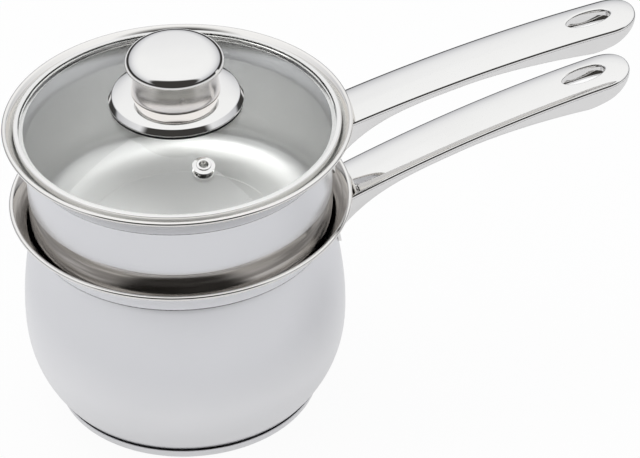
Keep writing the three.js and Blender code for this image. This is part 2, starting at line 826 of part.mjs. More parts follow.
const group = new THREE.Group();
group.add(saucepan(), insertAssembly, lidAssembly);

export default group;
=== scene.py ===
# A porringer set in stainless steel: saucepan, insert pan and glass lid, dressed for a studio
# photograph. Shapes are worked out in millimetres in the frame's own axes and written in metres.

from math import asin, atan, atan2, ceil, comb, copysign, cos, hypot, pi, radians, sin, sqrt, tan

import bmesh
import bpy
from mathutils import Matrix, Vector

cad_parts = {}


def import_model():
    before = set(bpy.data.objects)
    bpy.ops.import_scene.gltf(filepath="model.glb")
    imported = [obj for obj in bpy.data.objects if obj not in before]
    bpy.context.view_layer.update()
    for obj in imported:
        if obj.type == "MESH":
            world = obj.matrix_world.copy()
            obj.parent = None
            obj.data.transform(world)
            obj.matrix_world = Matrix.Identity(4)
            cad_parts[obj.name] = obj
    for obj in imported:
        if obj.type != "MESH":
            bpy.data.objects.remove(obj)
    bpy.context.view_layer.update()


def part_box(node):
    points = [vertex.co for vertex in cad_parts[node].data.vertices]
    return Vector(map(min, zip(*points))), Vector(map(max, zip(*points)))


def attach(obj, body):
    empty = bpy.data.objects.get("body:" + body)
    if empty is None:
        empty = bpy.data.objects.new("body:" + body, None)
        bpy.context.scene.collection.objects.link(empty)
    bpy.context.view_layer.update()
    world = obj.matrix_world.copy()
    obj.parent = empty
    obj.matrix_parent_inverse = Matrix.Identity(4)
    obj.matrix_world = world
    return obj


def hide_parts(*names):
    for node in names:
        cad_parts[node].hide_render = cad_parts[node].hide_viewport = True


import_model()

MM = 0.001

# Fits and counts
GAP = 0.3
PAN_SEGMENTS = 224
KNOB_SEGMENTS = 128
SMALL_SEGMENTS = 64
LONGEST_EDGE = 2.0  # longest straight stretch of a turned outline between two rings
CORNER_SUPPORT = 0.12  # ring beside each corner, which keeps flat faces flat
CORNER_ANGLE = radians(6)
SHARP_ANGLE = radians(32)
SOFTENED_ANGLE = radians(12)

# Rounded edges
SOFT_STEPS = 4
SHEET_ROUNDING = 0.5
TURNED_ROUNDING = 0.4
RING_ROUNDING = 0.3
NECK_ROUNDING = 0.25

# Sheet steel and the rolled rim
SHEET = 0.8
RIM_ROLL_RADIUS = 1.3
FLARE_END = radians(50)
ROLL_END = radians(-50)
FLARE_STEPS = 22
ROLL_STEPS = 18

# Saucepan
POT_HEIGHT = 120.2
POT_RIM_RADIUS = 88.0
POT_FLARE_HEIGHT = 15.8
POT_NECK_RADIUS = 77.0
POT_BELLY_RADIUS = 83.3
POT_BELLY_HEIGHT = 55.0
POT_FOOT_RADIUS = 67.6
POT_FOOT_RISE = 2.2
POT_FLOOR_RADIUS = 61.0
BELLY_LOWER_POWER = 2.5
BELLY_UPPER_POWER = 1.8
BELLY_STEPS = 28
FOOT_STEPS = 10

# Sandwich base
CAP_SHEET = 0.6
CORE_THICKNESS = 3.6
CORE_EDGE = 2.0
CAP_LIP_RISE = 1.7
CAP_STEPS = 16

# Insert pan
INSERT_RIM_RADIUS = 89.2
INSERT_HEIGHT = 67.6
INSERT_FLARE_HEIGHT = 14.8
INSERT_WALL_RADIUS = 78.0
INSERT_FLOOR_RADIUS = 58.0
INSERT_CORNER_RISE = 12.8
INSERT_PANEL_RADIUS = 48.0
INSERT_PANEL_RISE = 0.8
INSERT_PANEL_EDGE = 1.6
INSERT_CORNER_STEPS = 18
SEAM_LINE_DEPTH = 0.1  # fine line rolled where the polished rim meets the satin wall
SEAM_LINE_HALF_WIDTH = 0.22
PAINTED_FOOT_HEIGHT = 28.5  # the insert is polished below this, and darker there with painted shade and painted reflection rings

# Handles
POT_HANDLE_REACH = 239.5
INSERT_HANDLE_REACH = 237.5
INSERT_HANDLE_ANGLE = radians(-3.7)
HANDLE_ROOT_INSET = 3.0
POT_HANDLE_DROP = 10.5
INSERT_HANDLE_DROP = 6.6
POT_HANDLE_RISE = 48.5
INSERT_HANDLE_RISE = 41.5
HANDLE_BOW_SHARE = 0.377
HANDLE_SHEET = 1.1
HANDLE_ROOT_HALF_WIDTH = 15.0
HANDLE_END_HALF_WIDTH = 14.4
HANDLE_CROWN = 1.6
HANDLE_CROWN_POWER = 3  # the faces fall mostly near their edges
HANDLE_EDGE_RADIUS = 1.6
HANDLE_BOTTOM_RADIUS = 1.6
HANDLE_BELLY = 0.6
HANDLE_ROOT_DEPTH = 18.0
HANDLE_WAIST_DEPTH = 5.3
HANDLE_END_DEPTH = 11.6
HANDLE_TIP_DEPTH = 3.4
HANDLE_TIP_LENGTH = 16.0
HANDLE_TIP_POWER = 2.2
SEAM_DROP = 0.5
SEAM_HALF_GAP = 0.06  # the halves look closed
SLOT_FROM_TIP = 24.6
SLOT_HALF_LENGTH = 11.3
SLOT_HALF_WIDTH = 6.0
SLOT_UNDER_MARGIN = 6.5  # the hole in the underside is nearly as wide as the handle
SLOT_ROLL_RADIUS = 1.0  # the sheet turns down into the slot
WAIST_START_SHARE = 0.41
WAIST_END_SHARE = 0.44
END_START_SHARE = 0.84
ROOT_DEPTH_POWER = 4
END_DEPTH_POWER = 1.5
END_ZONE_BEFORE_SLOT = 20.0  # from the slot's middle back to where the handle's end zone begins
ACROSS_STEPS = 32
ALONG_STEPS = 110
ROOT_STEPS = 6
EDGE_STEPS = 7
END_SIDE_STEPS = 14
TIP_STEPS = 40
SLOT_ROLL_STEPS = 6
SLOT_RING_STEPS = 14
SLOT_WALL_STEPS = 3
SIDE_STEPS = 3
ROOT_ZONE = 8.0  # from the root to the first regular station
ROOT_SEARCH_STEPS = 14
RING_CROWDING = 1.25  # above 1, rings crowd towards the slot
WELD_DISTANCE = 0.002
RADIUS_LIMIT_SHARE = 0.42
TIP_TRIM = 0.5

# Brackets
BRACKET_SHEET = 1.2
BRACKET_HALF_WIDTH = 18.0
BRACKET_HEIGHT = 18.5
BRACKET_CORNER = 5.0
BRACKET_DROP = 0.8
BRACKET_RINGS = 8
BRACKET_CORNER_STEPS = 8
BRACKET_EDGE_STEPS = 3
BRACKET_ROUNDING = 0.3

# Lid
GLASS_THICKNESS = 3.5
DOME_RISE = 15.0
BAND_RADIUS = 83.3
BAND_SHEET = 0.5
BAND_TOP_WIDTH = 2.4
BAND_BOTTOM_WIDTH = 5.6
BAND_CORNER = 1.5
GLASS_RIM_WIDTH = 2.0
DOME_STEPS = 48
BAND_CORNER_STEPS = 8
GLASS_EDGE_STEPS = 10

# Knob
FLANGE_RADIUS = 34.4
FLANGE_TOP_RADIUS = 32.6
FLANGE_EDGE_HEIGHT = 3.7
FLANGE_RISE = 2.2
FLANGE_SHEET = 0.9
SEAL_WIDTH = 5.0
SEAL_SETBACK = 0.3
SEAL_THICKNESS = 1.4
NECK_RADIUS = 22.6
NECK_WAIST_RADIUS = 21.7
NECK_HEIGHT = 14.6
NECK_SHEET = 0.8
NECK_STEPS = 24
KNOB_RADIUS = 25.1
KNOB_LIP_RADIUS = 23.5
KNOB_LIP_WIDTH = 3.4
KNOB_EDGE_HEIGHT = 3.0
KNOB_SHOULDER_RADIUS = 22.0
KNOB_SHOULDER_RISE = 3.2
KNOB_CROWN_RISE = 3.4
KNOB_SHEET = 0.8
KNOB_DOME_FALL = 1.2  # fall of the crown's dome, drawn out to the shoulder
KNOB_ROLL_START = 15.5  # where the crown begins to roll over into the side
KNOB_ROLL_END = 1.0  # height above the lip where the roll ends
KNOB_ROLL_SHARE = 0.56  # how evenly the roll bends: this is nearly an ellipse
KNOB_ROLL_STEPS = 32
KNOB_CROWN_STEPS = 24
KNOB_EDGE_STEPS = 10
FLANGE_STEPS = 12
FLANGE_EDGE_STEPS = 8

# Knob core, screw and washers
SPIGOT_RADIUS = 6.0
KNOB_CORE_RADIUS = 10.0
SCREW_RADIUS = 2.5
SCREW_LENGTH = 24.0
SCREW_HEAD_RADIUS = 4.8
SCREW_HEAD_HEIGHT = 2.6
WASHER_RADIUS = 8.0
WASHER_THICKNESS = 1.2
GASKET_RADIUS = 9.0
GASKET_THICKNESS = 1.5

# Steam vent
VENT_FROM_AXIS = 54.0
VENT_ANGLE = radians(-88.5)
VENT_BORE_RADIUS = 2.3
VENT_BARREL_RADIUS = 3.0
VENT_COLLAR_RADIUS = 3.7
VENT_COLLAR_HEIGHT = 0.7
VENT_FLANGE_RADIUS = 5.7
VENT_FLANGE_THICKNESS = 0.6
VENT_GASKET_RADIUS = 4.1
VENT_GASKET_THICKNESS = 0.6
VENT_TAIL_RADIUS = 4.3
VENT_TAIL_THICKNESS = 0.6
VENT_RETAINER_RADIUS = 5.4
VENT_ROUNDING = 0.25


# Outlines of turned pieces: lists of (radius, height)

def blend(low, high, share):
    return low + (high - low) * share


def evenly(steps, start=0, end=1):
    """Places from start to end in even steps."""
    return [start + (end - start) * k / steps for k in range(steps + 1)]


def arc(centre, radius_x, radius_y, start, end, steps):
    turn = (end - start) / steps
    return [
        (centre[0] + radius_x * cos(start + turn * i), centre[1] + radius_y * sin(start + turn * i))
        for i in range(steps + 1)
    ]


def bezier(corners, steps):
    """A curve from the first corner to the last, bent towards those between."""
    degree = len(corners) - 1
    points = []
    for t in evenly(steps):
        weights = [comb(degree, k) * (1 - t) ** (degree - k) * t ** k for k in range(degree + 1)]
        points.append(tuple(sum(w * c[axis] for w, c in zip(weights, corners)) for axis in (0, 1)))
    return points


def side_line(path, distance):
    """The path moved sideways: a positive distance moves a pan's line to its outside."""
    normals = []
    for (ax, ay), (bx, by) in zip(path, path[1:]):
        length = hypot(bx - ax, by - ay)
        normals.append(((by - ay) / length, (ax - bx) / length))
    moved = []
    for (x, y), before, after in zip(path, normals[:1] + normals, normals + normals[-1:]):
        mitre = Vector((before[0] + after[0], before[1] + after[1])).normalized()
        step = distance / (mitre.x * before[0] + mitre.y * before[1])
        moved.append((0.0 if x == 0 else x + mitre.x * step, y + mitre.y * step))
    return moved


def refined(path, closed_path):
    """The path with rings beside its corners and along its long stretches."""
    count = len(path)
    points = []
    last = count if closed_path else count - 1

    def is_corner(i):
        if not closed_path and i in (0, count - 1):
            return True
        a, b, c = (Vector(path[(i + k) % count]) for k in (-1, 0, 1))
        return (b - a).angle(c - b, pi) > CORNER_ANGLE

    for i in range(last):
        a, b = Vector(path[i]), Vector(path[(i + 1) % count])
        length = (b - a).length
        shares = [0.0]
        if length > 4 * CORNER_SUPPORT:
            if is_corner(i):
                shares.append(CORNER_SUPPORT / length)
            pieces = ceil(length / LONGEST_EDGE)
            shares += evenly(pieces)[1:-1]
            if is_corner((i + 1) % count):
                shares.append(1 - CORNER_SUPPORT / length)
        points += [tuple(a.lerp(b, share)) for share in shares]
    if not closed_path:
        points.append(path[-1])
    return points


def flare_line(wall_radius, neck_height, rim_radius, rim_height):
    roll_radius = RIM_ROLL_RADIUS - SHEET / 2
    centre = (rim_radius - RIM_ROLL_RADIUS, rim_height - RIM_ROLL_RADIUS)
    roll = arc(centre, roll_radius, roll_radius, FLARE_END + pi / 2, ROLL_END, ROLL_STEPS)
    start = roll[0]
    control = (wall_radius, start[1] - (start[0] - wall_radius) * tan(FLARE_END))
    flare = bezier(((wall_radius, neck_height), control, start), FLARE_STEPS)
    return flare + roll[1:]


WALL_MIDDLE = SHEET / 2
POT_FLOOR_HEIGHT = CAP_SHEET + GAP + CORE_THICKNESS + GAP
POT_NECK_HEIGHT = POT_HEIGHT - POT_FLARE_HEIGHT
INSERT_NECK_HEIGHT = INSERT_HEIGHT - INSERT_FLARE_HEIGHT


def pot_line():
    floor = POT_FLOOR_HEIGHT + WALL_MIDDLE
    foot = (POT_FOOT_RADIUS - WALL_MIDDLE, POT_FLOOR_HEIGHT + POT_FOOT_RISE + WALL_MIDDLE)
    control = (foot[0] - WALL_MIDDLE - POT_FOOT_RISE / 2, floor)
    points = [(0.0, floor)] + bezier(((POT_FLOOR_RADIUS, floor), control, foot), FOOT_STEPS)
    rise = evenly(BELLY_STEPS)
    for up in rise[1:]:
        out = 1 - (1 - up) ** BELLY_LOWER_POWER
        radius = blend(POT_FOOT_RADIUS, POT_BELLY_RADIUS, out) - WALL_MIDDLE
        points.append((radius, blend(foot[1], POT_BELLY_HEIGHT, up)))
    for up in rise[1:-1]:
        radius = blend(POT_BELLY_RADIUS, POT_NECK_RADIUS, up ** BELLY_UPPER_POWER) - WALL_MIDDLE
        points.append((radius, blend(POT_BELLY_HEIGHT, POT_NECK_HEIGHT, up)))
    return points + flare_line(POT_NECK_RADIUS - WALL_MIDDLE, POT_NECK_HEIGHT, POT_RIM_RADIUS, POT_HEIGHT)


def insert_line():
    wall = INSERT_WALL_RADIUS - WALL_MIDDLE
    centre = (INSERT_FLOOR_RADIUS, WALL_MIDDLE + INSERT_CORNER_RISE)
    corner = arc(centre, wall - INSERT_FLOOR_RADIUS, INSERT_CORNER_RISE, -pi / 2, 0, INSERT_CORNER_STEPS)
    return [
        (0.0, WALL_MIDDLE + INSERT_PANEL_RISE),
        (INSERT_PANEL_RADIUS, WALL_MIDDLE + INSERT_PANEL_RISE),
        (INSERT_PANEL_RADIUS + INSERT_PANEL_EDGE, WALL_MIDDLE),
        *corner,
        *flare_line(wall, INSERT_NECK_HEIGHT, INSERT_RIM_RADIUS, INSERT_HEIGHT),
    ]


def with_seam_line(outside, height):
    """The outside line with a fine rolled line at a height."""
    index = min(range(len(outside)), key=lambda i: abs(outside[i][1] - height))
    radius = outside[index][0]
    half = SEAM_LINE_HALF_WIDTH
    groove = [(radius, height - half), (radius - SEAM_LINE_DEPTH, height), (radius, height + half)]
    before = [p for p in outside[:index] if p[1] < height - half]
    after = [p for p in outside[index + 1:] if p[1] > height + half]
    return before + groove + after


# Meshes

def new_object(name, data):
    thing = bpy.data.objects.new(name, data)
    bpy.context.scene.collection.objects.link(thing)
    return thing


def smoothed(mesh):
    """Smooth shading, broken at the sharp edges."""
    mesh.polygons.foreach_set("use_smooth", [True] * len(mesh.polygons))
    mesh.set_sharp_from_angle(angle=SHARP_ANGLE)


def new_piece(name, vertices, faces, zones, materials):
    """An object from vertices in millimetres, with one material number for each face."""
    mesh = bpy.data.meshes.new(name)
    mesh.from_pydata([tuple(c * MM for c in v) for v in vertices], [], faces)
    mesh.validate()
    for material in materials:
        mesh.materials.append(material)
    if zones:
        mesh.polygons.foreach_set("material_index", zones)
    smoothed(mesh)
    return new_object(name, mesh)


def strip(low, high):
    """Faces between two closed rings. A ring on the axis is one vertex, named once for each face."""
    corners = zip(low, low[1:] + low[:1], high[1:] + high[:1], high)
    faces = [list(dict.fromkeys(face)) for face in corners]
    return [face for face in faces if len(face) > 2]


def turned(name, outline, segments, materials, zone=None, height=0.0):
    """A turned piece about Z. zone gives a place's material, from its height and index in the outline."""
    vertices, rings = [], []
    for radius, z in outline:
        count = segments if radius else 1
        rings.append([len(vertices) + k % count for k in range(segments)])
        for k in range(count):
            turn = 2 * pi * k / segments
            vertices.append((radius * cos(turn), radius * sin(turn), z + height))
    faces, zones, area = [], [], 0
    for i, (a, b) in enumerate(zip(outline, outline[1:] + outline[:1])):
        band = strip(rings[i], rings[(i + 1) % len(rings)])
        faces += band
        zones += [materials.index(zone((a[1] + b[1]) / 2, i)) if zone else 0] * len(band)
        area += a[0] * b[1] - b[0] * a[1]
    if area < 0:
        faces = [face[::-1] for face in faces]
    return new_piece(name, vertices, faces, zones, materials)


def dressed(piece, node, body, slot_name):
    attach(piece, body)
    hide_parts(node)
    return piece


# Materials

class Tree:
    """The nodes of a material or of the world."""

    def __init__(self, owner):
        owner.use_nodes = True
        self.nodes, self.links = owner.node_tree.nodes, owner.node_tree.links

    def join(self, value, socket):
        """Gives a socket a number, a colour or another node's output."""
        if isinstance(value, bpy.types.NodeSocket):
            self.links.new(value, socket)
        else:
            socket.default_value = value

    def add(self, kind, inputs=None, **settings):
        node = self.nodes.new(f"ShaderNode{kind}")
        for name, value in settings.items():
            setattr(node, name, value)
        for name, value in (inputs or {}).items():
            self.join(value, node.inputs[name])
        return node

    def scalar(self, operation, *values):
        return self.add("Math", dict(enumerate(values)), operation=operation).outputs[0]

    def vector(self, operation, inputs, output="Vector"):
        return self.add("VectorMath", inputs, operation=operation).outputs[output]

    def place(self, kind="Object"):
        return self.add("TexCoord").outputs[kind]

    def noise(self, coordinates, scale, detail):
        return self.add("TexNoise", {"Vector": coordinates, "Scale": scale, "Detail": detail}).outputs["Fac"]

    def spread(self, value, low, high, start=0.0, end=1.0, **settings):
        """The value's run from start to end, laid out from low to high."""
        inputs = {"Value": value, "From Min": start, "From Max": end, "To Min": low, "To Max": high}
        return self.add("MapRange", inputs, **settings).outputs["Result"]

    def mix(self, share, first, second):
        """A colour between two."""
        return self.add("Mix", {"Factor": share, "A": first, "B": second}, data_type="RGBA").outputs["Result"]

    def turned_place(self, around, across):
        """Coordinates that run round the axis: a little variation round it, much across it."""
        split = self.add("SeparateXYZ", {0: self.place()}).outputs
        flat = self.add("CombineXYZ", {"X": split["X"], "Y": split["Y"]}).outputs[0]
        turn = self.vector("SCALE", {0: self.vector("NORMALIZE", {0: flat}), "Scale": around})
        run = self.scalar("ADD", split["Z"], self.vector("LENGTH", {0: flat}, "Value"))
        up = self.add("CombineXYZ", {"Z": self.scalar("MULTIPLY", run, across)}).outputs[0]
        return self.vector("ADD", {0: turn, 1: up})


class Finish(Tree):
    """A new material. fixed gives numbers to sockets of its shader."""

    def __init__(self, name, fixed):
        self.material = bpy.data.materials.new(name)
        super().__init__(self.material)
        self.shader = self.nodes["Principled BSDF"]
        for socket, value in fixed.items():
            self.give(socket, value)

    def give(self, socket, value):
        self.join(value, self.shader.inputs[socket])

    def tint(self, value, dark, light):
        self.give("Base Color", self.mix(value, (*dark, 1.0), (*light, 1.0)))

    def bump(self, value, strength, distance):
        relief = self.add("Bump", {"Strength": strength, "Distance": distance, "Height": value})
        self.give("Normal", relief.outputs["Normal"])


LINES = (3.0, 9000.0)  # fine lines of a wheel: variation round the axis and across it
LINES_DEPTH = 0.02 * MM
CLOUD_AROUND = 1.6


def turned_steel(name, dark, light, rough, anisotropy, grain, bands=28.0, contrast=(0.0, 1.0)):
    """Steel finished on a lathe or a brush wheel: fine lines run round the axis."""
    finish = Finish(name, {"Metallic": 1.0, "Anisotropic": anisotropy})
    fine = finish.noise(finish.turned_place(*LINES), 1.0, 3.0)
    cloud = finish.noise(finish.turned_place(CLOUD_AROUND, bands), 1.0, 2.0)
    finish.tint(finish.spread(cloud, 0.0, 1.0, *contrast), dark, light)
    finish.give("Roughness", finish.spread(fine, *rough))
    finish.bump(fine, grain, LINES_DEPTH)
    tangent = finish.add("Tangent", direction_type="RADIAL", axis="Z")
    finish.give("Tangent", tangent.outputs["Tangent"])
    return finish.material


def even_finish(name, fixed, tone, dark, light, rough, smear=None, relief=None):
    """A finish without direction. tone and smear are a noise's scale and detail, relief a bump's
    strength and depth. Without a smear the roughness follows the tone."""
    finish = Finish(name, fixed)
    cloud = finish.noise(finish.place(), *tone)
    finish.tint(cloud, dark, light)
    rubbed = finish.noise(finish.place(), *smear) if smear else cloud
    finish.give("Roughness", finish.spread(rubbed, *rough))
    if relief:
        finish.bump(cloud, *relief)
    return finish.material


PAINTED_REFLECTION_RINGS = (420.0, (0.38, 0.64))  # narrow rings of painted reflection, and how strongly they show
PAINTED_MOUTH_RINGS = (420.0, (0.40, 0.62))
SATIN = turned_steel("satin_steel_outside", (0.77, 0.77, 0.785), (0.82, 0.82, 0.835), (0.2, 0.3), 0.5, 0.2)
INSIDE = turned_steel("drawn_steel_inside", (0.88, 0.88, 0.865), (0.93, 0.93, 0.915), (0.34, 0.46), 0.3, 0.12)
RIM = turned_steel("polished_steel_rim", (0.82, 0.80, 0.775), (0.86, 0.845, 0.82), (0.03, 0.07), 0.3, 0.03)
# Partly painted light: the flare is a coarser satin than the wall, and its lighter tone stands in for the
# pale floor it mirrors.
FLARE_PAINTED_SHEEN = turned_steel("satin_flare_painted_sheen", (0.93, 0.93, 0.945), (0.96, 0.96, 0.975), (0.6, 0.7), 0.2, 0.1)
# Painted shade and painted reflection: the insert's polished foot, down in the pot's mouth, is darker and
# ringed to stand in for the shade and reflections between the pans.
PAINTED_SHADE_WALL_FOOT = turned_steel(
    "wall_foot_painted_shade_and_reflection", (0.50, 0.485, 0.47), (0.72, 0.705, 0.69), (0.05, 0.12), 0.3, 0.05, *PAINTED_REFLECTION_RINGS,
)
# Painted reflection and painted shade: the pot's mouth inside is darker and streaked with rings that stand in
# for what it mirrors.
PAINTED_REFLECTION_MOUTH = turned_steel(
    "mouth_painted_reflection", (0.58, 0.565, 0.55), (0.84, 0.825, 0.81), (0.08, 0.16), 0.3, 0.05, *PAINTED_MOUTH_RINGS,
)
NECK = turned_steel("buffed_steel_neck", (0.97, 0.93, 0.90), (0.985, 0.95, 0.925), (0.13, 0.19), 0.2, 0.03)
CORE_METAL = turned_steel("mill_aluminium", (0.60, 0.61, 0.63), (0.68, 0.69, 0.71), (0.35, 0.5), 0.3, 0.3)
POLISHED = even_finish(
    "mirror_steel", {"Metallic": 1.0}, (45.0, 3.0), (0.82, 0.81, 0.795), (0.86, 0.85, 0.835), (0.03, 0.06),
    (900.0, 2.0), (0.04, 0.2 * MM),
)
GLASS = even_finish(
    "tempered_glass", {"Transmission Weight": 1.0, "IOR": 1.5}, (30.0, 2.0), (0.98, 0.985, 0.98),
    (0.99, 0.995, 0.99), (0.0, 0.012),
)
RUBBER = even_finish(
    "black_rubber", {}, (1500.0, 3.0), (0.012, 0.012, 0.013), (0.03, 0.03, 0.032), (0.5, 0.75),
    relief=(0.2, 0.04 * MM),
)
MOULDED = even_finish(
    "moulded_core", {}, (700.0, 4.0), (0.02, 0.02, 0.021), (0.045, 0.045, 0.047), (0.4, 0.6),
    relief=(0.15, 0.03 * MM),
)


# Pans

def pan_piece(name, line, neck_height, height):
    """A pan with a satin outside, a polished rim and a drawn inside. The satin flare under the rim is
    lighter, partly painted sheen. The pot's mouth inside and the insert's polished foot are darker, with
    painted shade and painted reflection rings.
    """
    outside = refined(with_seam_line(side_line(line, WALL_MIDDLE), neck_height), False)
    inside = refined(side_line(line, -WALL_MIDDLE), False)[::-1]
    bead = max(z for _, z in inside) - 2 * RIM_ROLL_RADIUS
    is_insert = name == "insert"

    def zone(z, index):
        if z > bead:
            return RIM
        if index >= len(outside):
            return PAINTED_REFLECTION_MOUTH if z > neck_height and not is_insert else INSIDE
        if is_insert and z < PAINTED_FOOT_HEIGHT:
            return PAINTED_SHADE_WALL_FOOT
        return FLARE_PAINTED_SHEEN if z > neck_height else SATIN

    materials = [SATIN, RIM, INSIDE, PAINTED_SHADE_WALL_FOOT, FLARE_PAINTED_SHEEN, PAINTED_REFLECTION_MOUTH]
    piece = turned(f"{name}_pan", outside + inside, PAN_SEGMENTS, materials, zone, height)
    dressed(piece, f"{name}_body", name, "satin_steel")


def base_cap():
    lip = (POT_FOOT_RADIUS + GAP + CAP_SHEET / 2, POT_FLOOR_HEIGHT + CAP_LIP_RISE)
    middle = CAP_SHEET / 2
    side = bezier(((POT_FLOOR_RADIUS, middle), (lip[0] - GAP, middle), lip), CAP_STEPS)
    path = [(0.0, middle)] + side
    outline = refined(side_line(path, middle), False) + refined(side_line(path, -middle), False)[::-1]
    piece = turned("base_cap", outline, PAN_SEGMENTS, [SATIN])
    dressed(piece, "pot_base_cap", "pot", "mirror_steel")


# Handles

def rolled(start, round_steps, side_steps):
    """Steps round an edge and down the side below it: the angle, and the share of the way down."""
    rows = [(angle, 0.0) for angle in evenly(round_steps, start, pi / 2)]
    return rows + [(pi / 2, down) for down in evenly(side_steps)[1:]]


class HandleHalf:
    """One pressed half of a handle: its sizes along its own axis, and its outer skin as patches of points."""

    def __init__(self, root, reach, root_edge, rise, wall, bracket_top, under):
        self.root, self.root_edge, self.rise = root, root_edge, rise
        self.wall, self.bracket_top, self.under = wall, bracket_top, under
        self.length = reach - root
        self.tip = reach - TIP_TRIM
        self.slot_middle = reach - SLOT_FROM_TIP
        self.end_zone = self.slot_middle - END_ZONE_BEFORE_SLOT
        self.tip_start = reach - HANDLE_TIP_LENGTH
        self.first = root + ROOT_ZONE
        self.sign = -1 if under else 1
        self.bulge = HANDLE_BELLY if under else HANDLE_CROWN
        self.lean = atan(HANDLE_CROWN_POWER * self.bulge / HANDLE_ROOT_HALF_WIDTH)
        self.patches = []

    def share(self, x):
        return (x - self.root) / self.length

    def edge(self, x):
        share = self.share(x)
        bowed = (1 + HANDLE_BOW_SHARE) * share - HANDLE_BOW_SHARE * share * share
        return self.root_edge + self.rise * bowed

    def depth(self, x):
        share = self.share(x)
        if share < WAIST_START_SHARE:
            left = 1 - max(share, 0) / WAIST_START_SHARE
            return blend(HANDLE_WAIST_DEPTH, HANDLE_ROOT_DEPTH, left ** ROOT_DEPTH_POWER)
        if share < END_START_SHARE:
            along = max(share - WAIST_END_SHARE, 0) / (END_START_SHARE - WAIST_END_SHARE)
            return blend(HANDLE_WAIST_DEPTH, HANDLE_END_DEPTH, along ** END_DEPTH_POWER)
        along = (share - END_START_SHARE) / (1 - END_START_SHARE)
        return blend(HANDLE_TIP_DEPTH, HANDLE_END_DEPTH, 1 - along * along)

    def straight_half(self, x):
        return blend(HANDLE_ROOT_HALF_WIDTH, HANDLE_END_HALF_WIDTH, max(self.share(x), 0))

    def level(self, x, y, inset):
        """0 on the middle line and 1 on the outline drawn in by the inset."""
        across = abs(y) / (self.straight_half(x) - inset)
        if x <= self.tip_start:
            return across
        along = (x - self.tip_start) / (self.tip - self.tip_start - inset)
        return (across ** HANDLE_TIP_POWER + along ** HANDLE_TIP_POWER) ** (1 / HANDLE_TIP_POWER)

    def rounding(self, x):
        depth = self.depth(x)
        if not self.under:
            return min(HANDLE_EDGE_RADIUS, RADIUS_LIMIT_SHARE * depth)
        room = depth - HANDLE_EDGE_RADIUS - SEAM_DROP - GAP
        return min(HANDLE_BOTTOM_RADIUS, RADIUS_LIMIT_SHARE * depth, room)

    def base(self, x):
        return self.edge(x) - (self.depth(x) if self.under else 0)

    def inset(self, x, angle):
        return self.rounding(x) * (1 - sin(angle))

    def face_height(self, x, level):
        return self.base(x) + self.sign * self.bulge * (1 - abs(level) ** HANDLE_CROWN_POWER)

    def round_height(self, x, angle):
        drop = self.rounding(x) * (cos(self.lean) - cos(angle))
        return self.base(x) - self.sign * drop

    def seam_height(self, x):
        return self.edge(x) - HANDLE_EDGE_RADIUS - SEAM_DROP + self.sign * SEAM_HALF_GAP

    def root_place(self, across, height):
        """Where a line along the handle meets the pan or the bracket on it."""
        x = self.root
        for _ in range(ROOT_SEARCH_STEPS):
            z = height(x)
            plate = BRACKET_SHEET + GAP if z < self.bracket_top + GAP else 0
            radius = self.wall(z) + GAP + plate
            x = sqrt(radius * radius - across(x) ** 2)
        return x

    def line(self, side, angle, height):
        """Points of one line along the handle, from its root to the end zone."""

        def across(x):
            return side * (self.straight_half(x) - self.inset(x, angle))

        places = evenly(ROOT_STEPS, self.root_place(across, height), self.first)[:-1]
        places += evenly(ALONG_STEPS, self.first, self.end_zone)
        return [(x, across(x), height(x)) for x in places]

    def face(self):
        """The domed face from the root to the end zone."""
        lines = [
            self.line(side, self.lean, lambda x, side=side: self.face_height(x, side))
            for side in evenly(ACROSS_STEPS, -1)
        ]
        self.patches.append((lines, False))
        return [line[-1] for line in lines]

    def outline(self):
        """Points of the outline past the end zone: (x, y) and the normal there."""
        side = evenly(END_SIDE_STEPS, self.end_zone, self.tip_start)[1:-1]
        half = [(x, -self.straight_half(x)) for x in side]
        length = self.tip - self.tip_start
        for turn in evenly(TIP_STEPS, -pi / 2, pi / 2):
            c, s = cos(turn), sin(turn)
            x = self.tip_start + length * abs(c) ** (2 / HANDLE_TIP_POWER)
            y = self.straight_half(x) * copysign(abs(s) ** (2 / HANDLE_TIP_POWER), s)
            half.append((x, y))
        points = half + [(x, self.straight_half(x)) for x in reversed(side)]
        end_half = self.straight_half(self.end_zone)
        loop = [(self.end_zone, -end_half), *points, (self.end_zone, end_half)]
        normals = []
        for before, after in zip(loop, loop[2:]):
            along = Vector((after[0] - before[0], after[1] - before[1])).normalized()
            normals.append((along.y, -along.x))
        return list(zip(points, normals))

    def rim(self):
        """The rounded edge and the side down to the seam, from root round the tip to root."""
        outline = self.outline()
        lines, first_loop = [], []
        for angle, down in rolled(self.lean, EDGE_STEPS, SIDE_STEPS):

            def height(x, angle=angle, down=down):
                top = self.round_height(x, angle)
                return blend(top, self.seam_height(x), down)

            side = self.line(1, angle, height)
            end = []
            for (x, y), (nx, ny) in outline:
                inset = self.inset(x, angle)
                end.append((x - nx * inset, y - ny * inset, height(x - nx * inset)))
            line = [(x, -y, z) for x, y, z in side] + end + side[::-1]
            if not first_loop:
                first_loop = [(side[-1][0], -side[-1][1], side[-1][2]), *end, side[-1]]
            lines.append(line)
        self.patches.append((lines, False))
        return first_loop

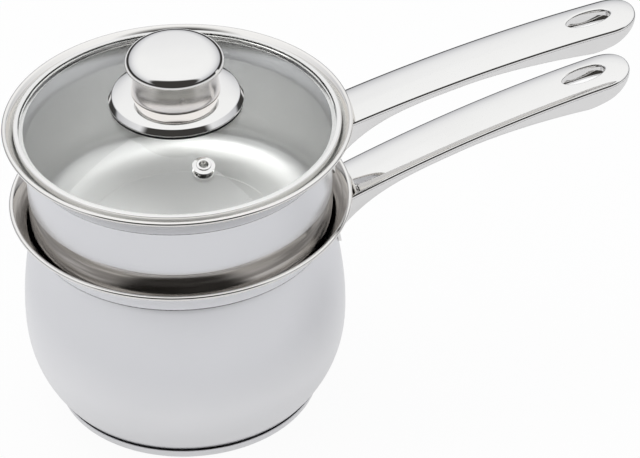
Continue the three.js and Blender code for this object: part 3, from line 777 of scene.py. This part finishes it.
    def end(self, cross_line, loop):
        """The face round the slot, and on the top half the slot's rolled edge and wall."""
        outer = loop + cross_line[-2:0:-1]
        middle = self.slot_middle
        roll = SLOT_ROLL_RADIUS
        margin = SLOT_UNDER_MARGIN if self.under else roll
        size = (SLOT_HALF_LENGTH + margin, SLOT_HALF_WIDTH + margin)
        turns = [atan2(y / size[1], (x - middle) / size[0]) for x, y, _ in outer]
        rows = []
        for run in evenly(SLOT_RING_STEPS):
            share = run ** RING_CROWDING
            row = []
            for turn, (x, y, z) in zip(turns, outer):
                inner = (middle + size[0] * cos(turn), size[1] * sin(turn))
                px, py = blend(inner[0], x, share), blend(inner[1], y, share)
                level = min(self.level(px, py, self.inset(px, self.lean)), 1.0)
                row.append((px, py, z if run == 1 else self.face_height(px, level)))
            rows.append(row)
        self.patches.append((rows, True))
        if self.under:
            return
        rows = []
        for angle, down in rolled(0, SLOT_ROLL_STEPS, SLOT_WALL_STEPS):
            out = roll * (1 - sin(angle))
            row = []
            for turn in turns:
                x = middle + (SLOT_HALF_LENGTH + out) * cos(turn)
                y = (SLOT_HALF_WIDTH + out) * sin(turn)
                level = self.level(x, y, self.inset(x, self.lean))
                top = self.face_height(x, level) - roll * (1 - cos(angle))
                row.append((x, y, blend(top, self.seam_height(x), down)))
            rows.append(row)
        self.patches.append((rows, True))

    def build(self, name, material, place):
        self.end(self.face(), self.rim())
        build = bmesh.new()
        for rows, ring in self.patches:
            grid = [[build.verts.new([c * MM for c in point]) for point in row] for row in rows]
            for low, high in zip(grid, grid[1:]):
                count = len(low)
                for k in range(count if ring else count - 1):
                    m = (k + 1) % count
                    build.faces.new((low[k], low[m], high[m], high[k]))
        bmesh.ops.remove_doubles(build, verts=build.verts, dist=WELD_DISTANCE * MM)
        bmesh.ops.recalc_face_normals(build, faces=build.faces)
        facing = sum(face.normal.z * face.calc_area() for face in build.faces)
        if facing * self.sign < 0:
            bmesh.ops.reverse_faces(build, faces=build.faces)
        skin = bpy.data.meshes.new(name)
        build.to_mesh(skin)
        build.free()
        skin.transform(place)
        piece = new_object(name, skin)
        thicken = piece.modifiers.new("sheet", "SOLIDIFY")
        thicken.thickness = HANDLE_SHEET * MM
        thicken.offset = -1
        thicken.use_even_offset = True
        applied(piece)
        piece.data.materials.append(material)
        smoothed(piece.data)
        return piece


def applied(piece):
    """Turns the modifiers of a piece into its own mesh."""
    graph = bpy.context.evaluated_depsgraph_get()
    mesh = bpy.data.meshes.new_from_object(piece.evaluated_get(graph))
    piece.modifiers.clear()
    piece.data = mesh


def wall_radius(outside, from_height):
    """Radius of a pan's outside at a height, between a height and the crest of its rim."""
    rising = [outside[0]]
    for point in outside[1:]:
        if point[1] < from_height:
            rising = [point]
        elif point[1] > rising[-1][1]:
            rising.append(point)
        else:
            break

    def radius(height):
        for low, high in zip(rising, rising[1:]):
            if height <= high[1]:
                break
        share = (height - low[1]) / (high[1] - low[1])
        return blend(low[0], high[0], max(min(share, 1), 0))

    return radius


def bracket(name, wall, middle, place):
    """A plate that follows the pan's outside, with softly rounded edges."""
    half_height = BRACKET_HEIGHT / 2
    corners = []
    for quarter, (sy, sz) in enumerate([(1, 1), (-1, 1), (-1, -1), (1, -1)]):
        for k in range(BRACKET_CORNER_STEPS + 1):
            turn = pi / 2 * (quarter + k / BRACKET_CORNER_STEPS)
            y = sy * (BRACKET_HALF_WIDTH - BRACKET_CORNER) + BRACKET_CORNER * cos(turn)
            z = sz * (half_height - BRACKET_CORNER) + BRACKET_CORNER * sin(turn)
            corners.append((y, z))
    loop = []
    for a, b in zip(corners, corners[1:] + corners[:1]):
        length = hypot(b[0] - a[0], b[1] - a[1])
        steps = max(1, ceil(length / LONGEST_EDGE))
        loop += list(zip(evenly(steps, a[0], b[0]), evenly(steps, a[1], b[1])))[:-1]

    soft = BRACKET_ROUNDING
    rows = [(share, 0.0, GAP) for share in evenly(BRACKET_RINGS)]
    for turn in evenly(BRACKET_EDGE_STEPS, 0, pi / 2):
        rows.append((1.0, soft * (1 - cos(turn)), GAP + BRACKET_SHEET - soft + soft * sin(turn)))
    rows += [(share, soft, GAP + BRACKET_SHEET) for share in evenly(BRACKET_RINGS, 1, 0)[1:]]
    vertices, rings = [], []
    for share, inset, out in rows:
        ring = []
        for y, z in loop if share else loop[:1]:
            span = (1 - inset / BRACKET_HALF_WIDTH, 1 - inset / half_height)
            py, pz = y * share * span[0], middle + z * share * span[1]
            radius = wall(pz) + out
            ring.append(len(vertices))
            point = place @ Vector((sqrt(radius * radius - py * py), py, pz))
            vertices.append(tuple(point))
        rings.append(ring if share else ring * len(loop))
    faces = [face for low, high in zip(rings, rings[1:]) for face in strip(low, high)]
    piece = new_piece(f"{name}_bracket", vertices, faces, [], [POLISHED])
    outward(piece)
    dressed(piece, f"{name}_handle_bracket", name, "mirror_steel")


def outward(piece):
    build = bmesh.new()
    build.from_mesh(piece.data)
    bmesh.ops.recalc_face_normals(build, faces=build.faces)
    build.to_mesh(piece.data)
    build.free()


def handle(name, line, from_height, neck_height, wall_size, reach, root_edge, rise, place):
    """Both halves of a handle and its bracket, along +X and then put in place."""
    wall = wall_radius(side_line(line, WALL_MIDDLE), from_height)
    root = wall_size + HANDLE_ROOT_INSET
    bracket_top = neck_height - BRACKET_DROP
    metres = Matrix.Scale(MM, 4) @ place @ Matrix.Scale(1 / MM, 4)
    for node, under in (("top", False), ("bottom", True)):
        half = HandleHalf(root, reach, root_edge, rise, wall, bracket_top, under)
        piece = half.build(f"{name}_grip_{node}", POLISHED, metres)
        dressed(piece, f"{name}_handle_{node}", name, "mirror_steel")
    middle = bracket_top - BRACKET_HEIGHT / 2
    bracket(name, wall, middle, place)


# Lid

BAND_HEIGHT = 2 * (BAND_SHEET + GAP) + GLASS_THICKNESS
GLASS_EDGE_TOP = BAND_SHEET + GAP + GLASS_THICKNESS
GLASS_RADIUS = BAND_RADIUS - BAND_CORNER
DOME_RADIUS = GLASS_RADIUS - GLASS_RIM_WIDTH
SPHERE_RADIUS = (DOME_RADIUS * DOME_RADIUS + DOME_RISE * DOME_RISE) / (2 * DOME_RISE)
CROWN_HEIGHT = GLASS_EDGE_TOP + DOME_RISE


def dome_drop(radius):
    return SPHERE_RADIUS - sqrt(SPHERE_RADIUS * SPHERE_RADIUS - radius * radius)


FLANGE_EDGE_BOTTOM = SEAL_THICKNESS + GAP - dome_drop(FLANGE_RADIUS) + GAP
FLANGE_TOP = FLANGE_EDGE_BOTTOM + FLANGE_EDGE_HEIGHT + FLANGE_RISE
NECK_BOTTOM = FLANGE_TOP + GAP
KNOB_LIP = NECK_BOTTOM + NECK_HEIGHT + GAP
KNOB_CROWN = KNOB_LIP + KNOB_EDGE_HEIGHT + KNOB_SHOULDER_RISE + KNOB_CROWN_RISE


def softened(outline, radius, steps=SOFT_STEPS):
    """A closed outline with its corners rounded by a small radius, away from the axis."""
    points = []
    count = len(outline)
    for i in range(count):
        a, b, c = (Vector(outline[(i + k) % count]) for k in (-1, 0, 1))
        into, out = (b - a), (c - b)
        if b.x == 0 or into.angle(out, 0) < SOFTENED_ANGLE:
            points.append(tuple(b))
            continue
        reach = min(radius, into.length / 2, out.length / 2)
        points += bezier((b - into.normalized() * reach, b, b + out.normalized() * reach), steps)
    return points


def lathe_piece(name, node, outline, material, slot_name, height=0.0, segments=KNOB_SEGMENTS, body="lid"):
    piece = turned(name, refined(outline, True), segments, [material], height=height)
    return dressed(piece, node, body, slot_name)


def band_outline():
    inner = BAND_RADIUS - BAND_SHEET
    corner = BAND_RADIUS - BAND_CORNER
    top, bottom = BAND_RADIUS - BAND_TOP_WIDTH, BAND_RADIUS - BAND_BOTTOM_WIDTH
    under_top = BAND_HEIGHT - BAND_SHEET
    outline = [
        (bottom, 0.0),
        *arc((corner, BAND_CORNER), BAND_CORNER, BAND_CORNER, -pi / 2, 0, BAND_CORNER_STEPS),
        (BAND_RADIUS, under_top),
        (inner, BAND_HEIGHT),
        (top, BAND_HEIGHT),
        (top, under_top),
        (inner, under_top),
        (inner, BAND_CORNER),
        (corner, BAND_SHEET),
        (bottom, BAND_SHEET),
    ]
    return softened(outline, BAND_SHEET / 3)


def glass_outline():
    radii = evenly(DOME_STEPS, SCREW_RADIUS + GAP, DOME_RADIUS)
    top = [(radius, CROWN_HEIGHT - dome_drop(radius)) for radius in radii]
    under = [(radius, z - GLASS_THICKNESS) for radius, z in reversed(top)]
    half = GLASS_THICKNESS / 2
    centre = (GLASS_RADIUS - half, top[-1][1] - half)
    return top + arc(centre, half, half, pi / 2, -pi / 2, GLASS_EDGE_STEPS) + under


def lid_glass(base, vent_place):
    """The domed pane, bored for the vent."""
    outline = refined(glass_outline(), True)
    piece = turned("lid_pane", outline, PAN_SEGMENTS, [GLASS], height=base)
    bore, reach = VENT_BARREL_RADIUS + GAP, 2 * GLASS_THICKNESS
    cutter_outline = [(0.0, -reach), (bore, -reach), (bore, reach), (0.0, reach)]
    cutter = turned("lid_pane_bore", cutter_outline, SMALL_SEGMENTS, [GLASS])
    cutter.data.transform(vent_place)
    cut = piece.modifiers.new("bore", "BOOLEAN")
    cut.operation = "DIFFERENCE"
    cut.solver = "EXACT"
    cut.object = cutter
    applied(piece)
    bpy.data.objects.remove(cutter)
    piece.data.set_sharp_from_angle(angle=SHARP_ANGLE)
    dressed(piece, "lid_glass", "lid", "clear_glass")


def flange_outline():
    half = FLANGE_SHEET / 2
    path = [(SPIGOT_RADIUS + GAP, FLANGE_TOP - half)]
    width = FLANGE_TOP_RADIUS - half - NECK_RADIUS
    for out in evenly(FLANGE_STEPS):
        path.append((NECK_RADIUS + width * out, FLANGE_TOP - half - FLANGE_RISE * out * out))
    path += [(FLANGE_RADIUS - half, FLANGE_EDGE_BOTTOM + half), (FLANGE_RADIUS - half, FLANGE_EDGE_BOTTOM)]
    outline = side_line(path, half) + side_line(path, -half)[::-1]
    return softened(outline, SHEET_ROUNDING, FLANGE_EDGE_STEPS)


def seal_outline():
    outer = FLANGE_RADIUS - SEAL_SETBACK
    inner = outer - SEAL_WIDTH
    top = FLANGE_EDGE_BOTTOM - GAP
    outline = [(inner, GAP - dome_drop(inner)), (outer, GAP - dome_drop(outer)), (outer, top), (inner, top)]
    return softened(outline, RING_ROUNDING)


def neck_outline():
    outer = []
    for up in evenly(NECK_STEPS):
        waist = (NECK_RADIUS - NECK_WAIST_RADIUS) * sin(pi * up)
        outer.append((NECK_RADIUS - waist, NECK_BOTTOM + NECK_HEIGHT * up))
    inner = [(radius - NECK_SHEET, z) for radius, z in outer][::-1]
    return softened(outer + inner, NECK_ROUNDING)


def knob_cap_outline():
    half = KNOB_SHEET / 2
    crown = []
    for radius in evenly(KNOB_CROWN_STEPS, 0, KNOB_ROLL_START):
        crown.append((radius, KNOB_CROWN - half - KNOB_DOME_FALL * (radius / KNOB_SHOULDER_RADIUS) ** 2))
    start = crown.pop()
    edge = (KNOB_RADIUS - half, KNOB_LIP + KNOB_ROLL_END)
    fall = 2 * KNOB_DOME_FALL * KNOB_ROLL_START / KNOB_SHOULDER_RADIUS ** 2
    reach = (edge[0] - start[0]) * KNOB_ROLL_SHARE
    rise = (start[1] - edge[1] - (edge[0] - start[0]) * fall) * KNOB_ROLL_SHARE
    corners = (start, (start[0] + reach, start[1] - reach * fall), (edge[0], edge[1] + rise), edge)
    roll = bezier(corners, KNOB_ROLL_STEPS)
    lip = (KNOB_LIP_RADIUS - half, KNOB_LIP + half)
    turn_in = (KNOB_LIP_RADIUS - KNOB_LIP_WIDTH, KNOB_LIP + half)
    path = [*crown, *roll, lip, turn_in]
    outline = side_line(path, half) + side_line(path, -half)[::-1]
    return softened(outline, SHEET_ROUNDING, KNOB_EDGE_STEPS)


def knob_core_outline():
    bore = SCREW_RADIUS + GAP
    bore_top = SCREW_LENGTH - GLASS_THICKNESS - GASKET_THICKNESS - WASHER_THICKNESS
    top = KNOB_CROWN - KNOB_SHEET - KNOB_CROWN_RISE * (KNOB_CORE_RADIUS / KNOB_SHOULDER_RADIUS) ** 2 - 2 * GAP
    outline = [
        (0.0, bore_top),
        (bore, bore_top),
        (bore, GAP),
        (SPIGOT_RADIUS, GAP),
        (SPIGOT_RADIUS, NECK_BOTTOM),
        (KNOB_CORE_RADIUS, NECK_BOTTOM),
        (KNOB_CORE_RADIUS, top),
        (0.0, top),
    ]
    return softened(outline, TURNED_ROUNDING)


def ring_outline(inner, outer, low, high):
    outline = [(inner, low), (outer, low), (outer, high), (inner, high)]
    return softened(outline, min(RING_ROUNDING, (high - low) / 3))


def screw_outline(head_top):
    low, high = head_top - SCREW_HEAD_HEIGHT, head_top + SCREW_LENGTH
    return softened([
        (0.0, low),
        (SCREW_HEAD_RADIUS / 2, low),
        (SCREW_HEAD_RADIUS, head_top - SCREW_HEAD_HEIGHT / 3),
        (SCREW_HEAD_RADIUS, head_top),
        (SCREW_RADIUS, head_top),
        (SCREW_RADIUS, high),
        (0.0, high),
    ], TURNED_ROUNDING)


def eyelet_outline():
    flange_low = GAP + VENT_GASKET_THICKNESS + GAP
    tail_high = -GLASS_THICKNESS - GAP - VENT_TAIL_THICKNESS - GAP
    collar_top = flange_low + VENT_FLANGE_THICKNESS + VENT_COLLAR_HEIGHT
    return softened([
        (VENT_BORE_RADIUS, tail_high - VENT_TAIL_THICKNESS),
        (VENT_TAIL_RADIUS, tail_high - VENT_TAIL_THICKNESS),
        (VENT_TAIL_RADIUS, tail_high),
        (VENT_BARREL_RADIUS, tail_high),
        (VENT_BARREL_RADIUS, flange_low),
        (VENT_FLANGE_RADIUS, flange_low),
        (VENT_FLANGE_RADIUS, flange_low + VENT_FLANGE_THICKNESS / 3),
        (VENT_COLLAR_RADIUS, flange_low + VENT_FLANGE_THICKNESS),
        (VENT_COLLAR_RADIUS, collar_top),
        (VENT_BORE_RADIUS, collar_top),
    ], VENT_ROUNDING)


def lid(base):
    crown = base + CROWN_HEIGHT
    lathe_piece("lid_edge_band", "lid_band", band_outline(), POLISHED, "mirror_steel", base, PAN_SEGMENTS)
    vent_height = (crown - dome_drop(VENT_FROM_AXIS)) * MM
    vent_place = (
        Matrix.Rotation(VENT_ANGLE, 4, "Z")
        @ Matrix.Translation((VENT_FROM_AXIS * MM, 0, vent_height))
        @ Matrix.Rotation(asin(VENT_FROM_AXIS / SPHERE_RADIUS), 4, "Y")
    )
    lid_glass(base, vent_place)

    hole = SCREW_RADIUS + GAP
    gasket_top = -GLASS_THICKNESS - GAP
    washer_top = gasket_top - GASKET_THICKNESS - GAP
    head_top = washer_top - WASHER_THICKNESS - GAP
    gasket = ring_outline(hole, GASKET_RADIUS, gasket_top - GASKET_THICKNESS, gasket_top)
    washer = ring_outline(hole, WASHER_RADIUS, washer_top - WASHER_THICKNESS, washer_top)
    for name, node, outline, material, slot_name in (
        ("knob_skirt", "knob_flange", flange_outline(), POLISHED, "mirror_steel"),
        ("knob_ring_seal", "knob_seal", seal_outline(), RUBBER, "black_rubber"),
        ("knob_stem", "knob_neck", neck_outline(), NECK, "mirror_steel"),
        ("knob_crown", "knob_cap", knob_cap_outline(), POLISHED, "mirror_steel"),
        ("knob_insert", "knob_core", knob_core_outline(), MOULDED, "moulded_core"),
        ("screw_seal", "screw_gasket", gasket, RUBBER, "black_rubber"),
        ("screw_plate", "screw_washer", washer, POLISHED, "mirror_steel"),
    ):
        lathe_piece(name, node, outline, material, slot_name, crown)
    screw = screw_outline(head_top)
    lathe_piece("knob_screw", "lid_screw", screw, POLISHED, "mirror_steel", crown, SMALL_SEGMENTS)

    hole = VENT_BARREL_RADIUS + GAP
    seal = ring_outline(hole, VENT_GASKET_RADIUS, GAP, GAP + VENT_GASKET_THICKNESS)
    retainer = ring_outline(hole, VENT_RETAINER_RADIUS, gasket_top - VENT_TAIL_THICKNESS, gasket_top)
    for name, node, outline, material, slot_name in (
        ("vent_tube", "vent_eyelet", eyelet_outline(), POLISHED, "mirror_steel"),
        ("vent_seal", "vent_gasket", seal, RUBBER, "black_rubber"),
        ("vent_plate", "vent_retainer", retainer, POLISHED, "mirror_steel"),
    ):
        piece = lathe_piece(name, node, outline, material, slot_name, segments=SMALL_SEGMENTS)
        piece.data.transform(vent_place)


def base_core():
    low, high = CAP_SHEET + GAP, CAP_SHEET + GAP + CORE_THICKNESS
    radius = POT_FLOOR_RADIUS - CORE_EDGE
    outline = softened([(0.0, low), (radius, low), (radius, high), (0.0, high)], TURNED_ROUNDING)
    lathe_piece("base_disc", "pot_base_core", outline, CORE_METAL, "aluminium_core", 0.0, PAN_SEGMENTS, "pot")


# The set

insert_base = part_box("insert_body")[0].z / MM
lid_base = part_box("lid_band")[0].z / MM

pan_piece("pot", pot_line(), POT_NECK_HEIGHT, 0.0)
base_cap()
base_core()
handle(
    "pot", pot_line(), POT_BELLY_HEIGHT, POT_NECK_HEIGHT, POT_NECK_RADIUS, POT_HANDLE_REACH,
    POT_HEIGHT - POT_HANDLE_DROP, POT_HANDLE_RISE, Matrix.Identity(4),
)
pan_piece("insert", insert_line(), INSERT_NECK_HEIGHT, insert_base)
insert_place = Matrix.Translation((0, 0, insert_base)) @ Matrix.Rotation(INSERT_HANDLE_ANGLE, 4, "Z")
handle(
    "insert", insert_line(), INSERT_CORNER_RISE + SHEET, INSERT_NECK_HEIGHT, INSERT_WALL_RADIUS,
    INSERT_HANDLE_REACH, INSERT_HEIGHT - INSERT_HANDLE_DROP, INSERT_HANDLE_RISE, insert_place,
)
lid(lid_base)


# Camera, solved from the photograph

VIEW_ELEVATION = 0.629929
VIEW_TURN = radians(13.5)
VIEW_ROLL = -0.024580
FOCAL_PIXELS = 4500.0
IMAGE_WIDTH, IMAGE_HEIGHT = 640, 458
AIM_PIXEL = (182.23, 223.27)
VIEW_DISTANCE = 2.3167
AIM = Vector((0, 0, 0.1))
SENSOR = 36.0
VIEW_END = 20  # how far the camera sees, in metres

heading = Vector((sin(VIEW_TURN), cos(VIEW_TURN), 0))
view_right = Vector((cos(VIEW_TURN), -sin(VIEW_TURN), 0))
look = heading * cos(VIEW_ELEVATION) - Vector((0, 0, sin(VIEW_ELEVATION)))
view_up = heading * sin(VIEW_ELEVATION) + Vector((0, 0, cos(VIEW_ELEVATION)))


def camera():
    side = (AIM_PIXEL[0] - IMAGE_WIDTH / 2) / FOCAL_PIXELS
    rise = -(AIM_PIXEL[1] - IMAGE_HEIGHT / 2) / FOCAL_PIXELS
    place = AIM - (look + view_right * side + view_up * rise) * VIEW_DISTANCE
    right = view_right * cos(VIEW_ROLL) + view_up * sin(VIEW_ROLL)
    up = view_up * cos(VIEW_ROLL) - view_right * sin(VIEW_ROLL)
    data = bpy.data.cameras.new("camera")
    data.sensor_width = SENSOR
    data.lens = FOCAL_PIXELS * SENSOR / IMAGE_WIDTH
    data.clip_end = VIEW_END
    eye = new_object("camera", data)
    axes = Matrix((right, up, -look)).transposed().to_4x4()
    eye.matrix_world = Matrix.Translation(place) @ axes
    bpy.context.scene.camera = eye


camera()


# Studio: pale floor, pale walls all round and a dark gap in front, where the camera stands

FLOOR_HALF = 6.0
FLOOR_HEIGHT = -0.1 * MM  # just under the base, so that the two don't share a plane
FLOOR_CAMERA_WHITE = 0.95  # how much of the floor the camera sees as plain white
FLOOR_MIRROR_WHITE = 0.1  # the same for what metal and glass show
FOOT_PAINTED_GLOW = 0.6  # painted light: close to the set, where the belly mirrors it, the floor glows brighter for metal and glass, which hides its shadow there
FOOT_GLOW = (0.11, 0.19)  # where that begins to fade and where it has gone, in metres from the axis
TABLE_EDGE = (0.8, 1.1)  # where the pale floor ends for everything but the camera, in metres
DARK_ROOM = (0.05, 0.048, 0.046, 1.0)
GAP_ELEVATION = radians(20)
GAP_HALF_HEIGHT = radians(30)
GAP_HALF_WIDTH = radians(58)
GAP_EDGE = (0.85, 1.1)  # where the dark begins to fade and where it has gone, as shares of the gap
WHITE = (1.0, 1.0, 1.0, 1.0)
FLOOR_CLOUD = (3.0, 2.0)
FLOOR_COLORS = ((0.69, 0.69, 0.70, 1.0), (0.72, 0.72, 0.73, 1.0))
SKY = (  # height of a direction, and the colour there
    (0.0, (0.05, 0.05, 0.052, 1.0)),
    (0.05, (0.06, 0.06, 0.062, 1.0)),
    (0.11, (0.60, 0.61, 0.64, 1.0)),
    (0.45, (0.93, 0.94, 0.96, 1.0)),
    (0.62, (1.03, 1.04, 1.05, 1.0)),
    (1.0, (1.06, 1.07, 1.08, 1.0)),
)


def straight(tree, rays):
    """1 for what the camera sees directly or through glass alone, without a mirror on the way."""
    depth = tree.scalar("ADD", rays["Glossy Depth"], rays["Diffuse Depth"])
    through = tree.scalar("SUBTRACT", rays["Is Transmission Ray"], tree.scalar("GREATER_THAN", depth, 0.5))
    return tree.scalar("MAXIMUM", rays["Is Camera Ray"], through)


def floor():
    sides = (-FLOOR_HALF, FLOOR_HALF)
    mesh = bpy.data.meshes.new("floor")
    mesh.from_pydata([(x, y, FLOOR_HEIGHT) for y in sides for x in sides], [], [(0, 1, 3, 2)])
    finish = Finish("pale_floor", {"Roughness": 0.9, "Specular IOR Level": 0.0})
    place = finish.place()
    from_middle = finish.vector("LENGTH", {0: place}, "Value")
    beyond = finish.spread(from_middle, 0.0, 1.0, *TABLE_EDGE, interpolation_type="SMOOTHSTEP")
    pale = finish.mix(finish.noise(place, *FLOOR_CLOUD), *FLOOR_COLORS)
    finish.give("Base Color", finish.mix(beyond, pale, DARK_ROOM))

    rays = finish.add("LightPath").outputs
    near = finish.scalar("SUBTRACT", 1.0, beyond)
    mirrored = finish.scalar("MAXIMUM", rays["Is Glossy Ray"], rays["Is Transmission Ray"])
    # Painted light: a glow on the floor round the set, seen only in metal and glass
    glow = finish.spread(from_middle, FOOT_PAINTED_GLOW, FLOOR_MIRROR_WHITE, *FOOT_GLOW)
    in_mirrors = finish.scalar("MULTIPLY", near, finish.scalar("MULTIPLY", mirrored, glow))
    to_camera = finish.scalar(
        "MULTIPLY", straight(finish, rays), finish.scalar("MAXIMUM", beyond, FLOOR_CAMERA_WHITE)
    )
    white = finish.add("Emission", {"Strength": 1.0}).outputs[0]
    share = finish.scalar("ADD", in_mirrors, to_camera)
    surface = finish.add("MixShader", {0: share, 1: finish.shader.outputs[0], 2: white}).outputs[0]
    finish.join(surface, finish.nodes["Material Output"].inputs["Surface"])
    mesh.materials.append(finish.material)
    plane = new_object("floor", mesh)


def world():
    """White for the camera, and for everything else the studio: a soft sky with the dark gap in it."""
    studio = bpy.data.worlds.new("studio")
    bpy.context.scene.world = studio
    tree = Tree(studio)
    place = tree.place("Generated")
    up, right, front = (
        tree.vector("DOT_PRODUCT", {0: place, 1: axis}, "Value") for axis in ((0, 0, 1), view_right, -heading)
    )
    turn = tree.scalar("ARCTAN2", right, front)
    rise = tree.scalar("SUBTRACT", tree.scalar("ARCSINE", up), GAP_ELEVATION)
    squares = [
        tree.scalar("POWER", tree.scalar("ABSOLUTE", tree.scalar("DIVIDE", angle, half)), 2.0)
        for angle, half in ((turn, GAP_HALF_WIDTH), (rise, GAP_HALF_HEIGHT))
    ]
    out = tree.scalar("SQRT", tree.scalar("ADD", *squares))
    away = tree.spread(out, 0.0, 1.0, *GAP_EDGE, interpolation_type="SMOOTHSTEP")

    sky = tree.add("ValToRGB", {"Fac": up})
    ramp = sky.color_ramp.elements
    while len(ramp) < len(SKY):
        ramp.new(1.0)
    for stop, (height, color) in zip(ramp, SKY):
        stop.position, stop.color = height, color
    around = tree.mix(away, DARK_ROOM, sky.outputs["Color"])
    seen = tree.mix(straight(tree, tree.add("LightPath").outputs), around, WHITE)
    background = tree.nodes["Background"]
    tree.join(1.0, background.inputs["Strength"])
    tree.join(seen, background.inputs["Color"])


def lamp(name, place, size, power):
    """A soft lamp that lights what is matt and isn't mirrored as a hard-edged shape."""
    data = bpy.data.lights.new(name, "AREA")
    data.shape = "RECTANGLE"
    data.size, data.size_y = size
    data.energy = power
    light = new_object(name, data)
    light.location = place
    light.rotation_euler = (AIM - Vector(place)).to_track_quat("-Z", "Y").to_euler()
    light.visible_glossy = False


floor()
world()
lamp("overhead", place=(-0.3, 0.4, 1.8), size=(1.6, 1.2), power=12)

bpy.context.scene.view_settings.view_transform = "Standard"
